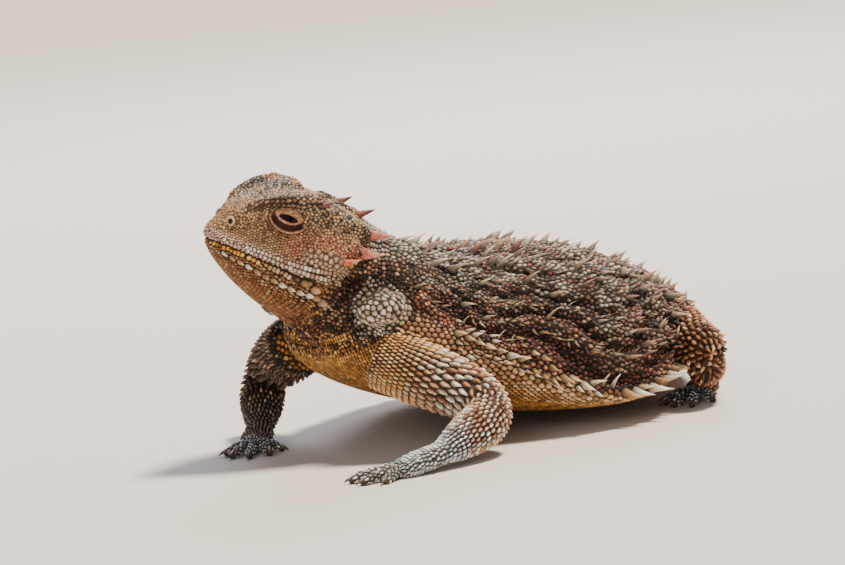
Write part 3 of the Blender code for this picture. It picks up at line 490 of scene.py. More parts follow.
    def head(self) -> Loft:
        """Carries a smooth skin through the eight lines of the left half and mirrors it.

        The last points of the lines are moved on to one plane, and the line of the mouth is
        pressed in.

        Returns:
            The head.
        """
        rails, steps = np.array(self.head_rails, float), self.head_steps_a_rail
        top, low = rails[0, -1], rails[-1, -1]
        slope = (top[1] - low[1]) / (top[2] - low[2])
        rails[:, -1, 1] = low[1] + (rails[:, -1, 2] - low[2]) * slope
        lines = smooth_table(rails.transpose(1, 0, 2), self.head_rings_a_span).transpose(1, 0, 2)
        lines = np.concatenate([lines[1:2] * (-1, 1, 1), lines, lines[-2:-1] * (-1, 1, 1)])
        half = smooth_table(lines, steps)[steps:-steps].transpose(1, 0, 2)
        mouth, count = self.lip_rail * steps + 1, len(half)
        fade = np.clip((count - 8 - np.arange(count)) / 8.0, 0, 1)[:, None]
        for step, share in ((-1, 0.35), (0, 1.0), (1, 1.0), (2, 0.35)):
            column = half[:, mouth + step]
            inward = unit(np.stack([-column[:, 0], np.full(count, 2.0), np.zeros(count)], 1))
            half[:, mouth + step] = column + inward * self.mouth_depth * share * fade
        rings = np.concatenate([half, half[:, -2:0:-1] * (-1, 1, 1)], 1)
        return Loft(Part.HEAD, self.pose.from_head(rings))

    def neck(self, head: Loft, trunk: Loft) -> Loft:
        """Makes a collar from inside the head to inside the trunk, a little waisted between.

        Args:
            head: The head.
            trunk: The trunk.

        Returns:
            The neck.
        """
        share = np.linspace(0, 1, self.ring_points, endpoint=False)

        def even(ring: Array) -> Array:
            """The ring with its points spaced evenly by length."""
            closed = np.concatenate([ring, ring[:1]])
            run = run_of(closed)
            return np.stack([np.interp(share, run / run[-1], closed[:, k]) for k in range(3)], 1)

        steps = np.linspace(0, 1, 15)[:, None, None]
        rings = blend(even(head.rings[-3]), even(trunk.rings[3]), steps)
        centre = rings.mean(1, keepdims=True)
        waist = 1 - self.neck_waist * np.sin(math.pi * steps)
        rings = centre + (rings - centre) * np.concatenate([waist, steps * 0 + 1, steps * 0 + 1], 2)
        return Loft(Part.NECK, rings)

    @staticmethod
    def tube(line: Array, radii: Array, flat: float | Array, sides: int = 32) -> Array:
        """Rings round a line, kept level so that the flattening stays parallel to the floor.

        Args:
            line: Points along the middle.
            radii: A radius at each point.
            flat: Height over width, for all points or for each.
            sides: Points in a ring.

        Returns:
            The rings.
        """
        tangent = unit(np.gradient(line, axis=0))
        side = unit(np.cross(tangent, (0, 0, 1)))
        up = np.cross(side, tangent)
        turn = turns(sides)[None, :, None]
        flat = np.broadcast_to(flat, len(line))[:, None, None]
        spokes = np.cos(turn) * side[:, None] + flat * np.sin(turn) * up[:, None]
        return line[:, None] + radii[:, None, None] * spokes

    def foreleg(self, side: int) -> Loft:
        """Makes upper arm, forearm and palm as one tube round rounded corners.

        Args:
            side: 1 for the left, -1 for the right.

        Returns:
            The tube.
        """
        corners = np.array(self.foreleg_corners[side], float)
        line, joints = [corners[:1]], []
        for k, cut in zip((1, 2), self.corner_rounding):
            into, out = corners[k] - corners[k - 1], corners[k + 1] - corners[k]
            start = corners[k] - unit(into) * min(cut, 0.45 * np.linalg.norm(into))
            end = corners[k] + unit(out) * min(cut, 0.45 * np.linalg.norm(out))
            line.append(arc(start, corners[k], end, 17))
            joints.append(sum(map(len, line)) - 9)
        line = np.concatenate([*line, corners[-1:]])
        run = run_of(line)
        elbow, wrist = run[joints]
        places = np.linspace(0, run[-1] + 0.4, 60)
        stops = ((0, elbow, 4), (elbow, wrist, 5), (wrist, run[-1], 4))
        knots = np.concatenate([[0], *(np.linspace(*stop)[1:] for stop in stops)])
        radii = np.interp(places, knots, (*self.upper_arm_radii, *self.forearm_radii, *self.palm_radii))
        flat = np.interp(places, (0, wrist - 2.5, wrist + 1.0, run[-1]), (1, 1, 0.72, self.palm_flatness))
        centres = np.stack([np.interp(places, run, line[:, k]) for k in range(3)], 1)
        return Loft(Part.FORELEG, self.tube(centres, radii, flat), side)

    def hind_leg(self, side: int) -> list[Loft]:
        """Makes thigh, shank and sole as overlapping tubes, the first two with round ends.

        Args:
            side: 1 for the left, -1 for the right.

        Returns:
            The three tubes.
        """
        hip, knee, under_knee, ankle = (np.array(p) for p in self.hind_leg_points[side])
        ahead = heading(math.radians(self.digits["foot", side][0]))
        heel = np.array((*ankle[:2], self.foot_height)) - ahead * self.heel_length
        lofts = []
        for start, end, radii, flat, span in (
            (hip, knee, self.thigh_radii, 1.0, (0.0, 0.4)),
            (under_knee, ankle, self.shank_radii, 1.0, (0.4, 0.75)),
            (heel, heel + ahead * self.foot_length, self.sole_radii, self.palm_flatness, (0.75, 1.0)),
        ):
            share = np.linspace(0, 1, 22)
            radii = np.interp(share, np.linspace(0, 1, len(radii)), radii)
            line = blend(start, end, share[:, None])
            if flat == 1.0:
                cap, way = np.linspace(0.2, 1.35, 5), unit(end - start)
                last = line[-1] + way * (radii[-1] * np.sin(cap))[:, None]
                first = line[0] - way * (radii[0] * np.sin(cap[::-1]))[:, None]
                line = np.concatenate([first, line, last])
                radii = np.concatenate([radii[0] * np.cos(cap[::-1]), radii, radii[-1] * np.cos(cap)])
            lofts.append(Loft(Part.HIND_LEG, self.tube(line, radii, flat), side, span=span))
        return lofts

    def digit_lofts(self, limb: str, side: int) -> list[Loft]:
        """Makes five arched digits from the knuckles of a hand or foot.

        Args:
            limb: hand or foot.
            side: 1 for the left, -1 for the right.

        Returns:
            The digits, the inner one first.
        """
        middle, spreads, lengths = self.digits[limb, side]
        ahead = heading(math.radians(middle))
        if limb == "hand":
            knuckles = np.array(self.foreleg_corners[side][-1])
        else:
            knuckles = self.hind_leg_points[side][-1] + ahead * (self.foot_length - self.heel_length)
        lofts, count = [], 18
        for spread, length in zip(spreads, lengths):
            out = heading(math.radians(middle + spread))
            root = knuckles - ahead * 0.9 + out * 0.4
            root[2] = 1.0
            tip = root + out * (length + 0.8)
            tip[2] = self.digit_radii[1] + 0.02
            line = arc(root, (root + tip) / 2 + (0, 0, self.digit_arch), tip, count)
            # Each joint of the digit swells the tube a little
            share = np.linspace(0, 1, count)
            radii = np.interp(share, (0, 1), self.digit_radii) * (1 + 0.07 * np.cos(share * 6 * math.pi))
            cap = np.linspace(0.3, 1.4, 4)
            line = np.concatenate([line, tip + out * (radii[-1] * np.sin(cap))[:, None]])
            radii = np.concatenate([radii, radii[-1] * np.cos(cap)])
            lofts.append(Loft(Part.DIGIT, self.tube(line, radii, 1.0, 12), side))
        return lofts

    @staticmethod
    def ball(centre: Array, radii: Row, part: Part) -> Loft:
        """Makes an ellipsoid as rings from pole to pole.

        Args:
            centre: Its middle.
            radii: Its half axes.
            part: The part it belongs to.

        Returns:
            The ellipsoid.
        """
        tilt, turn = np.linspace(0.05, math.pi - 0.05, 24)[:, None], turns(40)[None]
        sine = np.sin(tilt)
        grid = np.stack([sine * np.cos(turn), sine * np.sin(turn), np.cos(tilt) + 0 * turn], 2)
        return Loft(part, centre + grid * radii)

    def horn(self, name: str, side: int, end: float = 1.0, swell: float = 1.0) -> Loft:
        """Makes one horn: a lens section that shrinks along a line with a slight sag.

        Args:
            name: The horn's name in the table.
            side: 1 for the left, -1 for the right.
            end: Share of the length that is made.
            swell: The section's size over the table's.

        Returns:
            The horn, from inside the head outwards.
        """
        root, tip, wide, thin, _, _ = self.horns[name]
        left, _, up = self.pose.head_turn().T
        first, last = (self.pose.from_head(np.array(spot) * (side, 1, 1)) for spot in (root, tip))
        start = first - (last - first) * self.horn_root
        way = np.linspace(0, end, 28)[:, None]
        line = blend(start, last, way) - up * self.horn_sag * np.sin(math.pi * way)
        axis = unit(last - first)
        across = unit(np.cross(axis, left))
        turn = turns(28)[None, :, None]
        # The sine to a power gives the flat faces an edge
        sine = np.sign(np.sin(turn)) * np.abs(np.sin(turn)) ** 1.25
        section = wide * np.cos(turn) * across + thin * sine * np.cross(across, axis)
        taper = ((1 - way) ** 0.85 * 1.15 * swell + 0.01)[..., None]
        # Growth rings round the horn and flutes along it
        flutes = 1 + 0.05 * np.cos(7 * turn) * (1 - way)[..., None]
        ripple = (1 + 0.035 * np.sin(way * 40)[..., None]) * flutes
        return Loft(Part.HEAD, line[:, None] + taper * ripple * section, side, last if end == 1.0 else None)

    def eye_axes(self) -> Array:
        """Squares the eye's own directions to one another.

        Returns:
            Directions out of the left eye, to the rear and up, as rows in the head's frame.
        """
        out = unit(np.array(self.gaze))
        rear = unit(np.array((0.0, 1.0, 0.0)) - out * out[1])
        return np.array([out, rear, np.cross(out, rear)])

    def brow(self, side: int) -> Loft:
        """Makes the ridge over an eye, running back to the brow horn.

        Args:
            side: 1 for the left, -1 for the right.

        Returns:
            The ridge.
        """
        rows = smooth_table(self.brow_ridge, 5)
        line = self.pose.from_head(rows[:, :3] * (side, 1, 1))
        return Loft(Part.HEAD, self.tube(line, rows[:, 3], 1.0, 16), side)


@dataclass
class Where:
    """What is known of places on the skin: the part, the place on it, and the head's frame."""

    part: Array
    side: Array
    along: Array
    around: Array
    rear: Array
    head: Array
    point: Array
    normal: Array

    def pick(self, keep: Array) -> Where:
        """The same facts for some of the places."""
        return Where(**{name: value[keep] for name, value in vars(self).items()})

    @property
    def fold(self) -> Array:
        """The way round from the back line, 0, to the belly line, 1."""
        return np.minimum(self.around, 1 - self.around) * 2

    def on(self, part: Part) -> Array:
        """Whether each place is on a part."""
        return self.part == part


@dataclass
class BodyMap:
    """Finds the part of the body, and the place on it, that is nearest to any point."""

    pose: Pose
    lofts: list[Loft]

    def __post_init__(self) -> None:
        """Gathers every ring point of the lofts into one search tree."""
        rows = []
        for loft in self.lofts:
            count, number = shape = loft.rings.shape[:2]
            along = np.linspace(*loft.span, count)[:, None] * np.ones(number)
            around = np.ones(count)[:, None] * (np.arange(number) / number)
            facts = (np.full(shape, float(loft.part)), np.full(shape, float(loft.side)), along, around)
            rows.append(np.dstack([loft.rings, loft.along(), *facts]).reshape(-1, 10))
        self.table = np.concatenate(rows)
        self.tree = search_tree(self.table[:, :3])

    def look(self, points: Array, normals: Array, ragged: float = 0.0) -> Where:
        """Reads the body's own coordinates at points.

        Args:
            points: Places in the body's frame.
            normals: Outward normals there.
            ragged: How far noise may shift a place first, so that borders aren't straight.

        Returns:
            The facts, one a point.
        """
        asked = points
        if ragged:
            shift = np.stack([value_noise(points, 2.2, 70 + k) - 0.5 for k in range(3)], 1)
            asked = points + shift * 2 * ragged
        row = self.table[np.fromiter((self.tree.find(p)[1] for p in asked.tolist()), int, len(points))]
        rear = along_surface(row[:, 3:6], normals)
        return Where(row[:, 6].astype(int), *row[:, 7:].T, rear, self.pose.to_head(points), points, normals)


@dataclass(frozen=True)
class Markings:
    """The colours of the skin and of every scale, worked out from the place on the body."""

    crown: Row = ("#9c7a58", "#b8946a", "#765a42", "#c8ab80", "#5f6a66", "#2c2420")
    temple: Row = ("#b0634a", "#c07a5e", "#9c523c", "#cb967a", "#a5806a", "#7c4836")
    brow: Row = ("#7c5840", "#886246", "#6c4836", "#987254", "#76523c", "#5c3c2c")
    cheek: Row = ("#b89e80", "#9e8668", "#d0bc9e", "#806850", "#ac8e6e", "#685038")
    snout: Row = ("#a47a54", "#bc9268", "#845e42", "#cca87c", "#6a4e38", "#3c2c24")
    upper_lip: Row = ("#ccb09a", "#bb967e", "#dccab8", "#aa7e68", "#c2a288", "#9a7a64")
    gold_lip: Row = ("#dc9a34", "#e2a644", "#d08c2e", "#e6b25a", "#cc8a34", "#bf8030")
    jaw: Row = ("#7c4a2a", "#9a6738", "#5c3620", "#b88958", "#4a2c1a", "#cfae86")
    chin: Row = ("#d9bf9e", "#c9a67e", "#e6d4ba", "#b88e64", "#cdae8a", "#a67c56")
    throat: Row = ("#77431f", "#935c2c", "#5a341c", "#b07c46", "#43281a", "#c09a70")
    nape: Row = ("#a8a096", "#7c736a", "#d4cec6", "#5c544e", "#93826f", "#3a322c")
    neck_side: Row = ("#4a3022", "#6a4630", "#2e1f16", "#8c6244", "#a88460", "#201610")
    bulge: Row = ("#cdbda8", "#b8a28a", "#e0d4c4", "#a48a70", "#c8b298", "#a8866a")
    back: Row = ("#5e4c40", "#7d6857", "#40332b", "#9b8874", "#b5a18a", "#8f4e36")
    flank: Row = ("#6c3a28", "#8e5038", "#48281c", "#b06c4e", "#7e5a46", "#c4936e")
    under_fringe: Row = ("#c09468", "#d0a87c", "#a07648", "#dcbf98", "#a87c4e", "#86603c")
    belly: Row = ("#b87c34", "#c89048", "#9c6828", "#d4a562", "#a87a3c", "#8c5e28")
    fringe: Row = ("#dcc4a0", "#cdae84", "#ecdcc0", "#bd9668", "#d6b88e", "#ae8658")
    spine: Row = ("#b49a7c", "#8f7358", "#d2bd9e", "#6e5440", "#c0a888", "#a0806a")
    arm: Row = ("#dcbfa4", "#c99c80", "#ead6c0", "#b27e62", "#cfae92", "#98684c")
    shoulder: Row = ("#d09040", "#dca658", "#b87830", "#e6bf80", "#c08844", "#9c6a34")
    hand: Row = ("#c8cccf", "#a6a8aa", "#e0e4e8", "#8a8684", "#b8b4b0", "#8ea0ac")
    # The far foreleg's palette is dark to paint the shade it lies in
    shaded_far_arm: Row = ("#5c4434", "#7c5f48", "#3c2c22", "#a08468", "#4c382c", "#2c2019")
    thigh: Row = ("#8c5636", "#ac7a56", "#643e28", "#c8a27c", "#9c6a48", "#4e3222")
    tail: Row = ("#84624a", "#a28264", "#604434", "#c0a486", "#745440", "#463428")
    weights: Row = (0.26, 0.22, 0.18, 0.14, 0.12, 0.08)

    def mixed(self, name: str, draw: Array, spread: float | Array = 1.0) -> Array:
        """One colour a place out of a palette, by its weights.

        Args:
            name: The palette's name.
            draw: Random numbers, 0 to 1.
            spread: How far each colour departs from the palette's mean.

        Returns:
            Linear colours.
        """
        colours = np.array([linear(c) for c in getattr(self, name)])
        mean = (colours * np.array(self.weights)[:, None]).sum(0)
        index = np.searchsorted(np.cumsum(self.weights), np.clip(draw, 0, 0.999))
        return mean + (colours[np.minimum(index, 5)] - mean) * spread

    def colour(self, where: Where, draw: Array, spread: float | Array = 1.0) -> Array:
        """The colour of the body at places.

        Each zone has a palette. Zones are weighed by smooth steps of the place on the part, and
        the later zones are laid over the earlier ones.

        Args:
            where: The places.
            draw: A random number for each, 0 to 1.
            spread: How far single scales depart from the zone's mean colour.

        Returns:
            Linear colours, one a place.
        """
        x, y, z = np.abs(where.head[:, 0]), where.head[:, 1], where.head[:, 2]
        point, fold, along, left = where.point, where.fold, where.along, where.side > 0
        low, mid = value_noise(point, 5.0, 1), value_noise(point, 2.2, 2)
        trunk, neck, head, foreleg, tail = map(
            where.on, (Part.TRUNK, Part.NECK, Part.HEAD, Part.FORELEG, Part.TAIL)
        )
        body = trunk | neck
        out = self.mixed("back", draw, spread)

        def lay(name: str, weight: Array) -> None:
            """Lays a palette over what is there, by weight."""
            nonlocal out
            out = blend(out, self.mixed(name, draw, spread), np.clip(weight, 0, 1)[:, None])

        def dim(weight: Array) -> None:
            """Darkens what is there, by weight."""
            nonlocal out
            out = out * (1 - weight)[:, None]

        def stain(colour: str, weight: Array) -> None:
            """Mixes one colour in, by weight."""
            nonlocal out
            out = blend(out, linear(colour), weight[:, None])

        lay("nape", body * ramp(0.46, 0.16, fold) * ramp(0.34, 0.1, along * trunk) * (0.5 + 0.6 * low))
        lay("flank", trunk * ramp(0.3, 0.5, fold + 0.16 * (mid - 0.5)) * (0.55 + 0.5 * low))
        lay("under_fringe", trunk * ramp(0.5, 0.56, fold))
        lay("belly", trunk * ramp(0.58, 0.74, fold))
        lay("neck_side", neck * ramp(0.28, 0.42, fold))
        lay("throat", neck * ramp(0.72, 0.85, fold))
        # Painted shade: a dark line in the crease round the fold of skin at each shoulder
        sided = np.abs(point) * (1, 0, 0) + point * (0, 1, 1)
        from_bulge = np.linalg.norm(sided - (11.0, -0.6, 19.6), axis=1) + 0.9 * (mid - 0.5)
        dim(0.75 * body * bump(4.2, 0.7, from_bulge))
        # Dark blotches down the back, then rust and pale flecks, then painted shade, tinted maroon, in the
        # furrows
        blotch = trunk * ramp(0.5, 0.3, fold) * np.sin(along * 30.0 + 3 * low) ** 2 * ramp(0.12, 0.3, fold)
        dim(0.62 * ramp(0.45, 0.8, blotch))
        stain("#9c5840", 0.3 * trunk * ramp(0.58, 0.7, value_noise(point, 1.2, 5)) * ramp(0.62, 0.5, fold))
        stain("#c8c0b2", 0.6 * body * ramp(0.6, 0.74, value_noise(point, 1.3, 6)) * ramp(0.5, 0.24, fold))
        out = out * (1 - np.multiply.outer(trunk * self.furrows(where), (0.72, 0.84, 0.86)))
        # The head: teal and dark specks on the crown and a dark spot before the upper temple horn
        lay("snout", head)
        lay("temple", head * ramp(7.0, 10.5, y) * ramp(5.2, 3.4, z + 1.2 * (mid - 0.5)) * (0.55 + 0.5 * low))
        lay("crown", head * ramp(4.6, 6.0, z + 0.35 * np.maximum(0, 6 - y)))
        teal = head * ramp(5.4, 6.8, z) * ramp(0.5, 0.68, value_noise(point, 1.6, 7))
        stain("#63757a", 0.5 * teal * ramp(13.0, 10.5, y))
        dim(0.75 * head * ramp(4.8, 6.0, z) * ramp(0.66, 0.74, value_noise(point, 0.6, 9)))
        dim(0.85 * head * bump(0, 0.8, np.sqrt((x - 9.3) ** 2 + (y - 15.4) ** 2 + (z - 5.7) ** 2)))
        lip = self.lip_height(y)
        lay("cheek", head * ramp(10.2, 12.0, y + 1.5 * (mid - 0.5)) * ramp(2.8, 1.5, z) * 0.8)
        lay("upper_lip", head * ramp(lip + 2.1, lip + 1.0, z) * ramp(14.5, 11.0, y))
        lay("jaw", head * ramp(lip + 0.1, lip - 0.1, z))
        lay("throat", head * ramp(lip - 2.4, lip - 3.2, z))
        lay("arm", foreleg & left)
        # Painted shade: the far foreleg takes the dark palette
        lay("shaded_far_arm", foreleg & ~left)
        lay("hand", foreleg * ramp(0.62, 0.8, along) * (0.15 + 0.85 * left))
        lay("shoulder", foreleg * left * ramp(0.3, 0.1, along) * (0.4 + 0.6 * mid))
        # The shoulder fold's white scales, dimmer on its upper side as painted shade, and some more before it
        white = (body | foreleg) * ramp(4.1, 3.4, from_bulge)
        lay("bulge", white)
        before = np.linalg.norm(sided - (8.5, -4.4, 18.2), axis=1)
        lay("bulge", neck * ramp(3.6, 2.4, before) * ramp(0.4, 0.55, mid) * 0.8)
        dim(0.45 * white * ramp(19.0, 21.0, point[:, 2]))
        lay("hand", where.on(Part.DIGIT))
        lay("thigh", where.on(Part.HIND_LEG))
        lay("tail", tail)
        dim(0.4 * ramp(0.5, 0.8, tail * np.sin(along * 22) ** 2))
        return np.clip(out, 0.002, 1)

    @staticmethod
    def furrows(where: Where) -> Array:
        """How deep in a lengthwise furrow of the flank or back places lie.

        Furrows are bells of the share of the way round, their lines wandering with low noise.

        Args:
            where: The places.

        Returns:
            Depths from 0 to 1.
        """
        fold, along = where.fold, where.along
        wander = value_noise(where.point, 7.0, 11) - 0.5
        deep = np.zeros(len(fold))
        for place, width, depth, stray in (
            (0.458, 0.024, 1.0, 0.0), (0.385, 0.02, 0.95, 0.04), (0.31, 0.015, 0.7, 0.0),
            (0.235, 0.012, 0.5, -0.05), (0.15, 0.012, 0.35, 0.0),
        ):
            deep += depth * bump(place, width, fold + 0.07 * wander + stray * wander)
        fine = np.clip(np.sin(fold * 150 + 9 * wander), 0, 1) * ramp(0.22, 0.34, fold) * ramp(0.5, 0.2, along)
        deep = np.clip(np.maximum(deep, 0.55 * fine), 0, 1)
        return deep * ramp(0.06, 0.16, along) * ramp(0.97, 0.85, along)

    @staticmethod
    def lip_height(y: Array) -> Array:
        """Height of the line of the mouth in the head's frame, by distance behind the snout."""
        heights = (-0.75, -0.62, -0.85, -1.25, -1.65, -1.7, -1.5)
        return np.interp(y, (0.3, 1.3, 4.0, 7.7, 11.0, 14.2, 16.8), heights)


def grid_quads(rings: int, around: int) -> Array:
    """Sets quads between rings that close on themselves, their points numbered ring by ring.

    Args:
        rings: How many rings.
        around: How many points in a ring.

    Returns:
        The quads.
    """
    i, j = np.meshgrid(np.arange(rings - 1), np.arange(around), indexing="ij")
    a, b = (i * around + j).ravel(), (i * around + (j + 1) % around).ravel()
    return np.stack([a, b, b + around, a + around], 1)


def facing(points: Array, faces: Array, out: Array) -> Array:
    """Turns faces so that most of them look outwards.

    Args:
        points: Points.
        faces: Triangles or quads of one winding.
        out: The way out, for all faces or for each.

    Returns:
        The faces, wound the other way where they have to be.
    """
    corner = points[faces]
    normal = np.cross(corner[:, 1] - corner[:, 0], corner[:, -1] - corner[:, 0])
    return faces[:, ::-1] if (normal * out).sum() < 0 else faces


def merged(parts: list[tuple[Array, ...]]) -> list[Array]:
    """Joins meshes, their faces numbered anew.

    Args:
        parts: Points, faces and perhaps tints of each.

    Returns:
        The same of all in one.
    """
    points, faces, *rest = zip(*parts)
    starts = np.cumsum([0, *map(len, points[:-1])])
    faces = [face + start for face, start in zip(faces, starts)]
    return [np.concatenate(rows) for rows in (points, faces, *rest)]


def linked(name: str, data: bpy.types.ID) -> bpy.types.Object:
    """Adds an object to the scene.

    Args:
        name: Its name.
        data: Its data.

    Returns:
        The object.
    """
    obj = bpy.data.objects.new(name, data)
    bpy.context.scene.collection.objects.link(obj)
    return obj


def mesh_object(
    name: str,
    place: Array,
    points: Array,
    faces: Array,
    tint: Array | None = None,
    roots: Array | None = None,
) -> bpy.types.Object:
    """Makes a mesh object at the origin, its place in its mesh.

    Args:
        name: The piece's name.
        place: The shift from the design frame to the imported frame, in millimetres.
        points: Points in design millimetres.
        faces: Triangles or quads, all of one kind, facing outwards.
        tint: Linear colours, one a point.
        roots: Places on the body's unwrap, one a point, for the map named OFBake.

    Returns:
        The object, linked to the scene.
    """
    mesh = bpy.data.meshes.new(name)
    mesh.vertices.add(len(points))
    mesh.vertices.foreach_set("co", ((points + place) * MM).astype(np.float32).ravel())
    mesh.loops.add(faces.size)
    mesh.loops.foreach_set("vertex_index", faces.astype(np.int32).ravel())
    mesh.polygons.add(len(faces))
    mesh.polygons.foreach_set("loop_start", np.arange(0, faces.size, faces.shape[1], dtype=np.int32))
    mesh.update(calc_edges=True)
    mesh.validate()
    mesh.shade_smooth()
    if tint is not None:
        layer = mesh.attributes.new("tint", "FLOAT_COLOR", "POINT")
        colours = np.column_stack([tint, np.ones(len(tint))])
        layer.data.foreach_set("color", colours.astype(np.float32).ravel())
    if roots is not None:
        layer = mesh.uv_layers.new(name="OFBake")
        layer.data.foreach_set("uv", roots[faces.ravel()].astype(np.float32).ravel())
    return linked(name, mesh)


def search_tree(points: Array) -> KDTree:
    """Plants points in a search tree, numbered in their order.

    Args:
        points: Places, one a row.

    Returns:
        The tree.
    """
    tree = KDTree(len(points))
    for index, point in enumerate(points.tolist()):
        tree.insert(point, index)
    tree.balance()
    return tree


def near_pairs(points: Array, reach: float) -> tuple[Array, Array]:
    """All ordered pairs of points closer than reach.

    Points are sorted by the cell of a cubic lattice they lie in, and each point is set against
    those of the 27 cells round it, whose runs in the sorted list a binary search finds.

    Args:
        points: Places, one a row.
        reach: The greatest distance, and the lattice's spacing.

    Returns:
        Index arrays of the first and second point of each pair.
    """
    cell = np.floor(points / reach).astype(np.int64)
    cell -= cell.min(0) - 1
    size = cell.max(0) + 2
    key = (cell[:, 0] * size[1] + cell[:, 1]) * size[2] + cell[:, 2]
    order = np.argsort(key, kind="stable")
    ranked, pairs = key[order], []
    for dx, dy, dz in np.ndindex(3, 3, 3):
        wanted = key + ((dx - 1) * size[1] + dy - 1) * size[2] + dz - 1
        start = np.searchsorted(ranked, wanted, "left")
        count = np.searchsorted(ranked, wanted, "right") - start
        owner = np.repeat(np.arange(len(points)), count)
        begin = np.repeat(start - np.concatenate([[0], np.cumsum(count)[:-1]]), count)
        other = order[begin + np.arange(len(owner))]
        near = (np.linalg.norm(points[owner] - points[other], axis=1) < reach) & (owner != other)
        pairs.append((owner[near], other[near]))
    return tuple(np.concatenate(side) for side in zip(*pairs))


@dataclass
class Skin:
    """The one skin over the whole body, with its folds."""

    form: BodyForm
    depth: float = 0.32
    voxel: float = 0.37
    smoothing: int = 5

    def __post_init__(self) -> None:
        """Makes the lofts and the map of the body."""
        form = self.form
        self.head, self.trunk, self.tail = form.head(), form.trunk(), form.tail()
        self.limbs = [form.foreleg(side) for side in SIDES]
        self.limbs += [loft for side in SIDES for loft in form.hind_leg(side)]
        self.digits = [loft for limb, side in form.digits for loft in form.digit_lofts(limb, side)]
        self.brows = {side: form.brow(side) for side in SIDES}
        self.extras = []
        for side in SIDES:
            fold, eye = (np.array(spot) * (side, 1, 1) for spot in (form.bulge_centre, form.eye_spot))
            self.extras += [
                form.ball(fold, form.bulge_radii, Part.NECK),
                form.ball(form.pose.from_head(eye), (form.orbit_radius,) * 3, Part.HEAD), self.brows[side],
            ]
        # The skin climbs the root of each horn
        self.extras += [form.horn(name, side, 0.5, 1.4) for side in SIDES for name in form.horns]
        self.body = [self.head, form.neck(self.head, self.trunk), self.trunk, self.tail, *self.limbs]
        self.map = BodyMap(form.pose, [*self.body, *self.digits])

    def build(self, place: Array) -> bpy.types.Object:
        """Joins the lofts by a voxel remesh, smooths and folds the skin, and adds the digits.

        Args:
            place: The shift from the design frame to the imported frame.

        Returns:
            The skin, without material.
        """
        parts = [loft.mesh() for loft in [*(part.shrunk(self.depth) for part in self.body), *self.extras]]
        rough = mesh_object("rough_body", np.zeros(3), *merged(parts))
        remesh = rough.modifiers.new("join", "REMESH")
        remesh.mode, remesh.voxel_size = "VOXEL", self.voxel * MM
        smooth = rough.modifiers.new("smooth", "SMOOTH")
        smooth.iterations, smooth.factor = self.smoothing, 0.5
        mesh = bpy.data.meshes.new_from_object(rough.evaluated_get(bpy.context.evaluated_depsgraph_get()))
        bpy.data.objects.remove(rough)
        count = len(mesh.vertices)
        co, normal = np.empty(count * 3, np.float32), np.empty(count * 3, np.float32)
        quads = np.empty(len(mesh.loops), np.int32)
        mesh.vertices.foreach_get("co", co)
        mesh.vertices.foreach_get("normal", normal)
        mesh.loops.foreach_get("vertex_index", quads)
        bpy.data.meshes.remove(mesh)
        co, normal = co.reshape(-1, 3).astype(float) / MM, unit(normal.reshape(-1, 3))
        co = co + normal * self.relief(self.map.look(co, normal))[:, None]
        co[:, 2] = np.maximum(co[:, 2], 0.05)
        self.points, self.normals, self.quads = co, normal, quads.reshape(-1, 4)
        self.tree = BVHTree.FromPolygons(co.tolist(), self.quads.tolist())
        # Painted shade in the seams: the skin between the scales is tinted very dark, a little less so on the
        # face
        where = self.map.look(co, normal, 0.5)
        face = where.on(Part.HEAD) * ramp(0.0, 1.0, where.head[:, 2]) * ramp(6.5, 4.5, where.head[:, 2])
        tint = Markings().colour(where, np.full(count, 0.5), 0.0) * (0.07 + 0.16 * face[:, None])
        parts = [(co, self.quads, tint + linear("#140c08") * 0.45)]
        # The digits' skin is tinted dark too, painted shade under their scales
        for loft in self.digits:
            points, quads = loft.rings.reshape(-1, 3), grid_quads(*loft.rings.shape[:2])
            spoke = (loft.rings - loft.rings.mean(1, keepdims=True)).reshape(-1, 3)[quads[:, 0]]
            tint = np.tile(linear("#5a4c42") * 0.5, (len(points), 1))
            parts.append((points, facing(points, quads, spoke), tint))
        return mesh_object("skin", place, *merged(parts))

    def nearest(self, points: Array) -> tuple[Array, Array, Array]:
        """The nearest places of the skin, the normals there and how far off they are."""
        place, normal, _, gap = zip(*map(self.tree.find_nearest, points.tolist()))
        return np.array(place), np.array(normal), np.array(gap)

    def sprinkle(self, times: int) -> tuple[Array, Array]:
        """Random places of the skin.

        Args:
            times: How many in each of its faces.

        Returns:
            The places, and the normals there.
        """
        quads = np.tile(self.quads, (times, 1))
        u, v = chance(len(quads), 71)[:, None], chance(len(quads), 72)[:, None]
        share = ((1 - u) * (1 - v), u * (1 - v), u * v, (1 - u) * v)
        point, normal = (
            sum(weight * table[quads[:, k]] for k, weight in enumerate(share))
            for table in (self.points, self.normals)
        )
        return point, unit(normal)

    @staticmethod
    def relief(where: Where) -> Array:
        """Folds of loose skin, as heights over the smooth body.

        Lengthwise furrows run along each flank above the fringe, wandering with low noise. Short
        folds cross the side of the neck. All are bells of the distance round the body.

        Args:
            where: The places.

        Returns:
            Heights in millimetres, negative in a furrow.
        """
        fold, trunk, neck, head = where.fold, where.on(Part.TRUNK), where.on(Part.NECK), where.on(Part.HEAD)
        across, behind, up = np.abs(where.head[:, 0]), where.head[:, 1], where.head[:, 2]
        furrow = Markings.furrows(where)
        loose = value_noise(where.point, 2.4, 12) - 0.5
        height = trunk * (0.38 - 1.35 * furrow) * ramp(0.05, 0.12, fold) * ramp(0.5, 0.47, fold)
        height += 0.75 * loose * (trunk * ramp(0.56, 0.48, fold) + neck)
        places = ((0.3, 0.07), (0.55, 0.06), (0.8, 0.06))
        creases = sum(bump(place, width, where.along) for place, width in places)
        height -= 0.6 * neck * creases * ramp(0.3, 0.5, fold)
        # The hollow behind the cheek
        pit = np.linalg.norm(np.stack([across - 8.4, behind - 18.2, up + 0.6], 1), axis=1)
        height -= 1.5 * ramp(2.2, 0.6, pit)
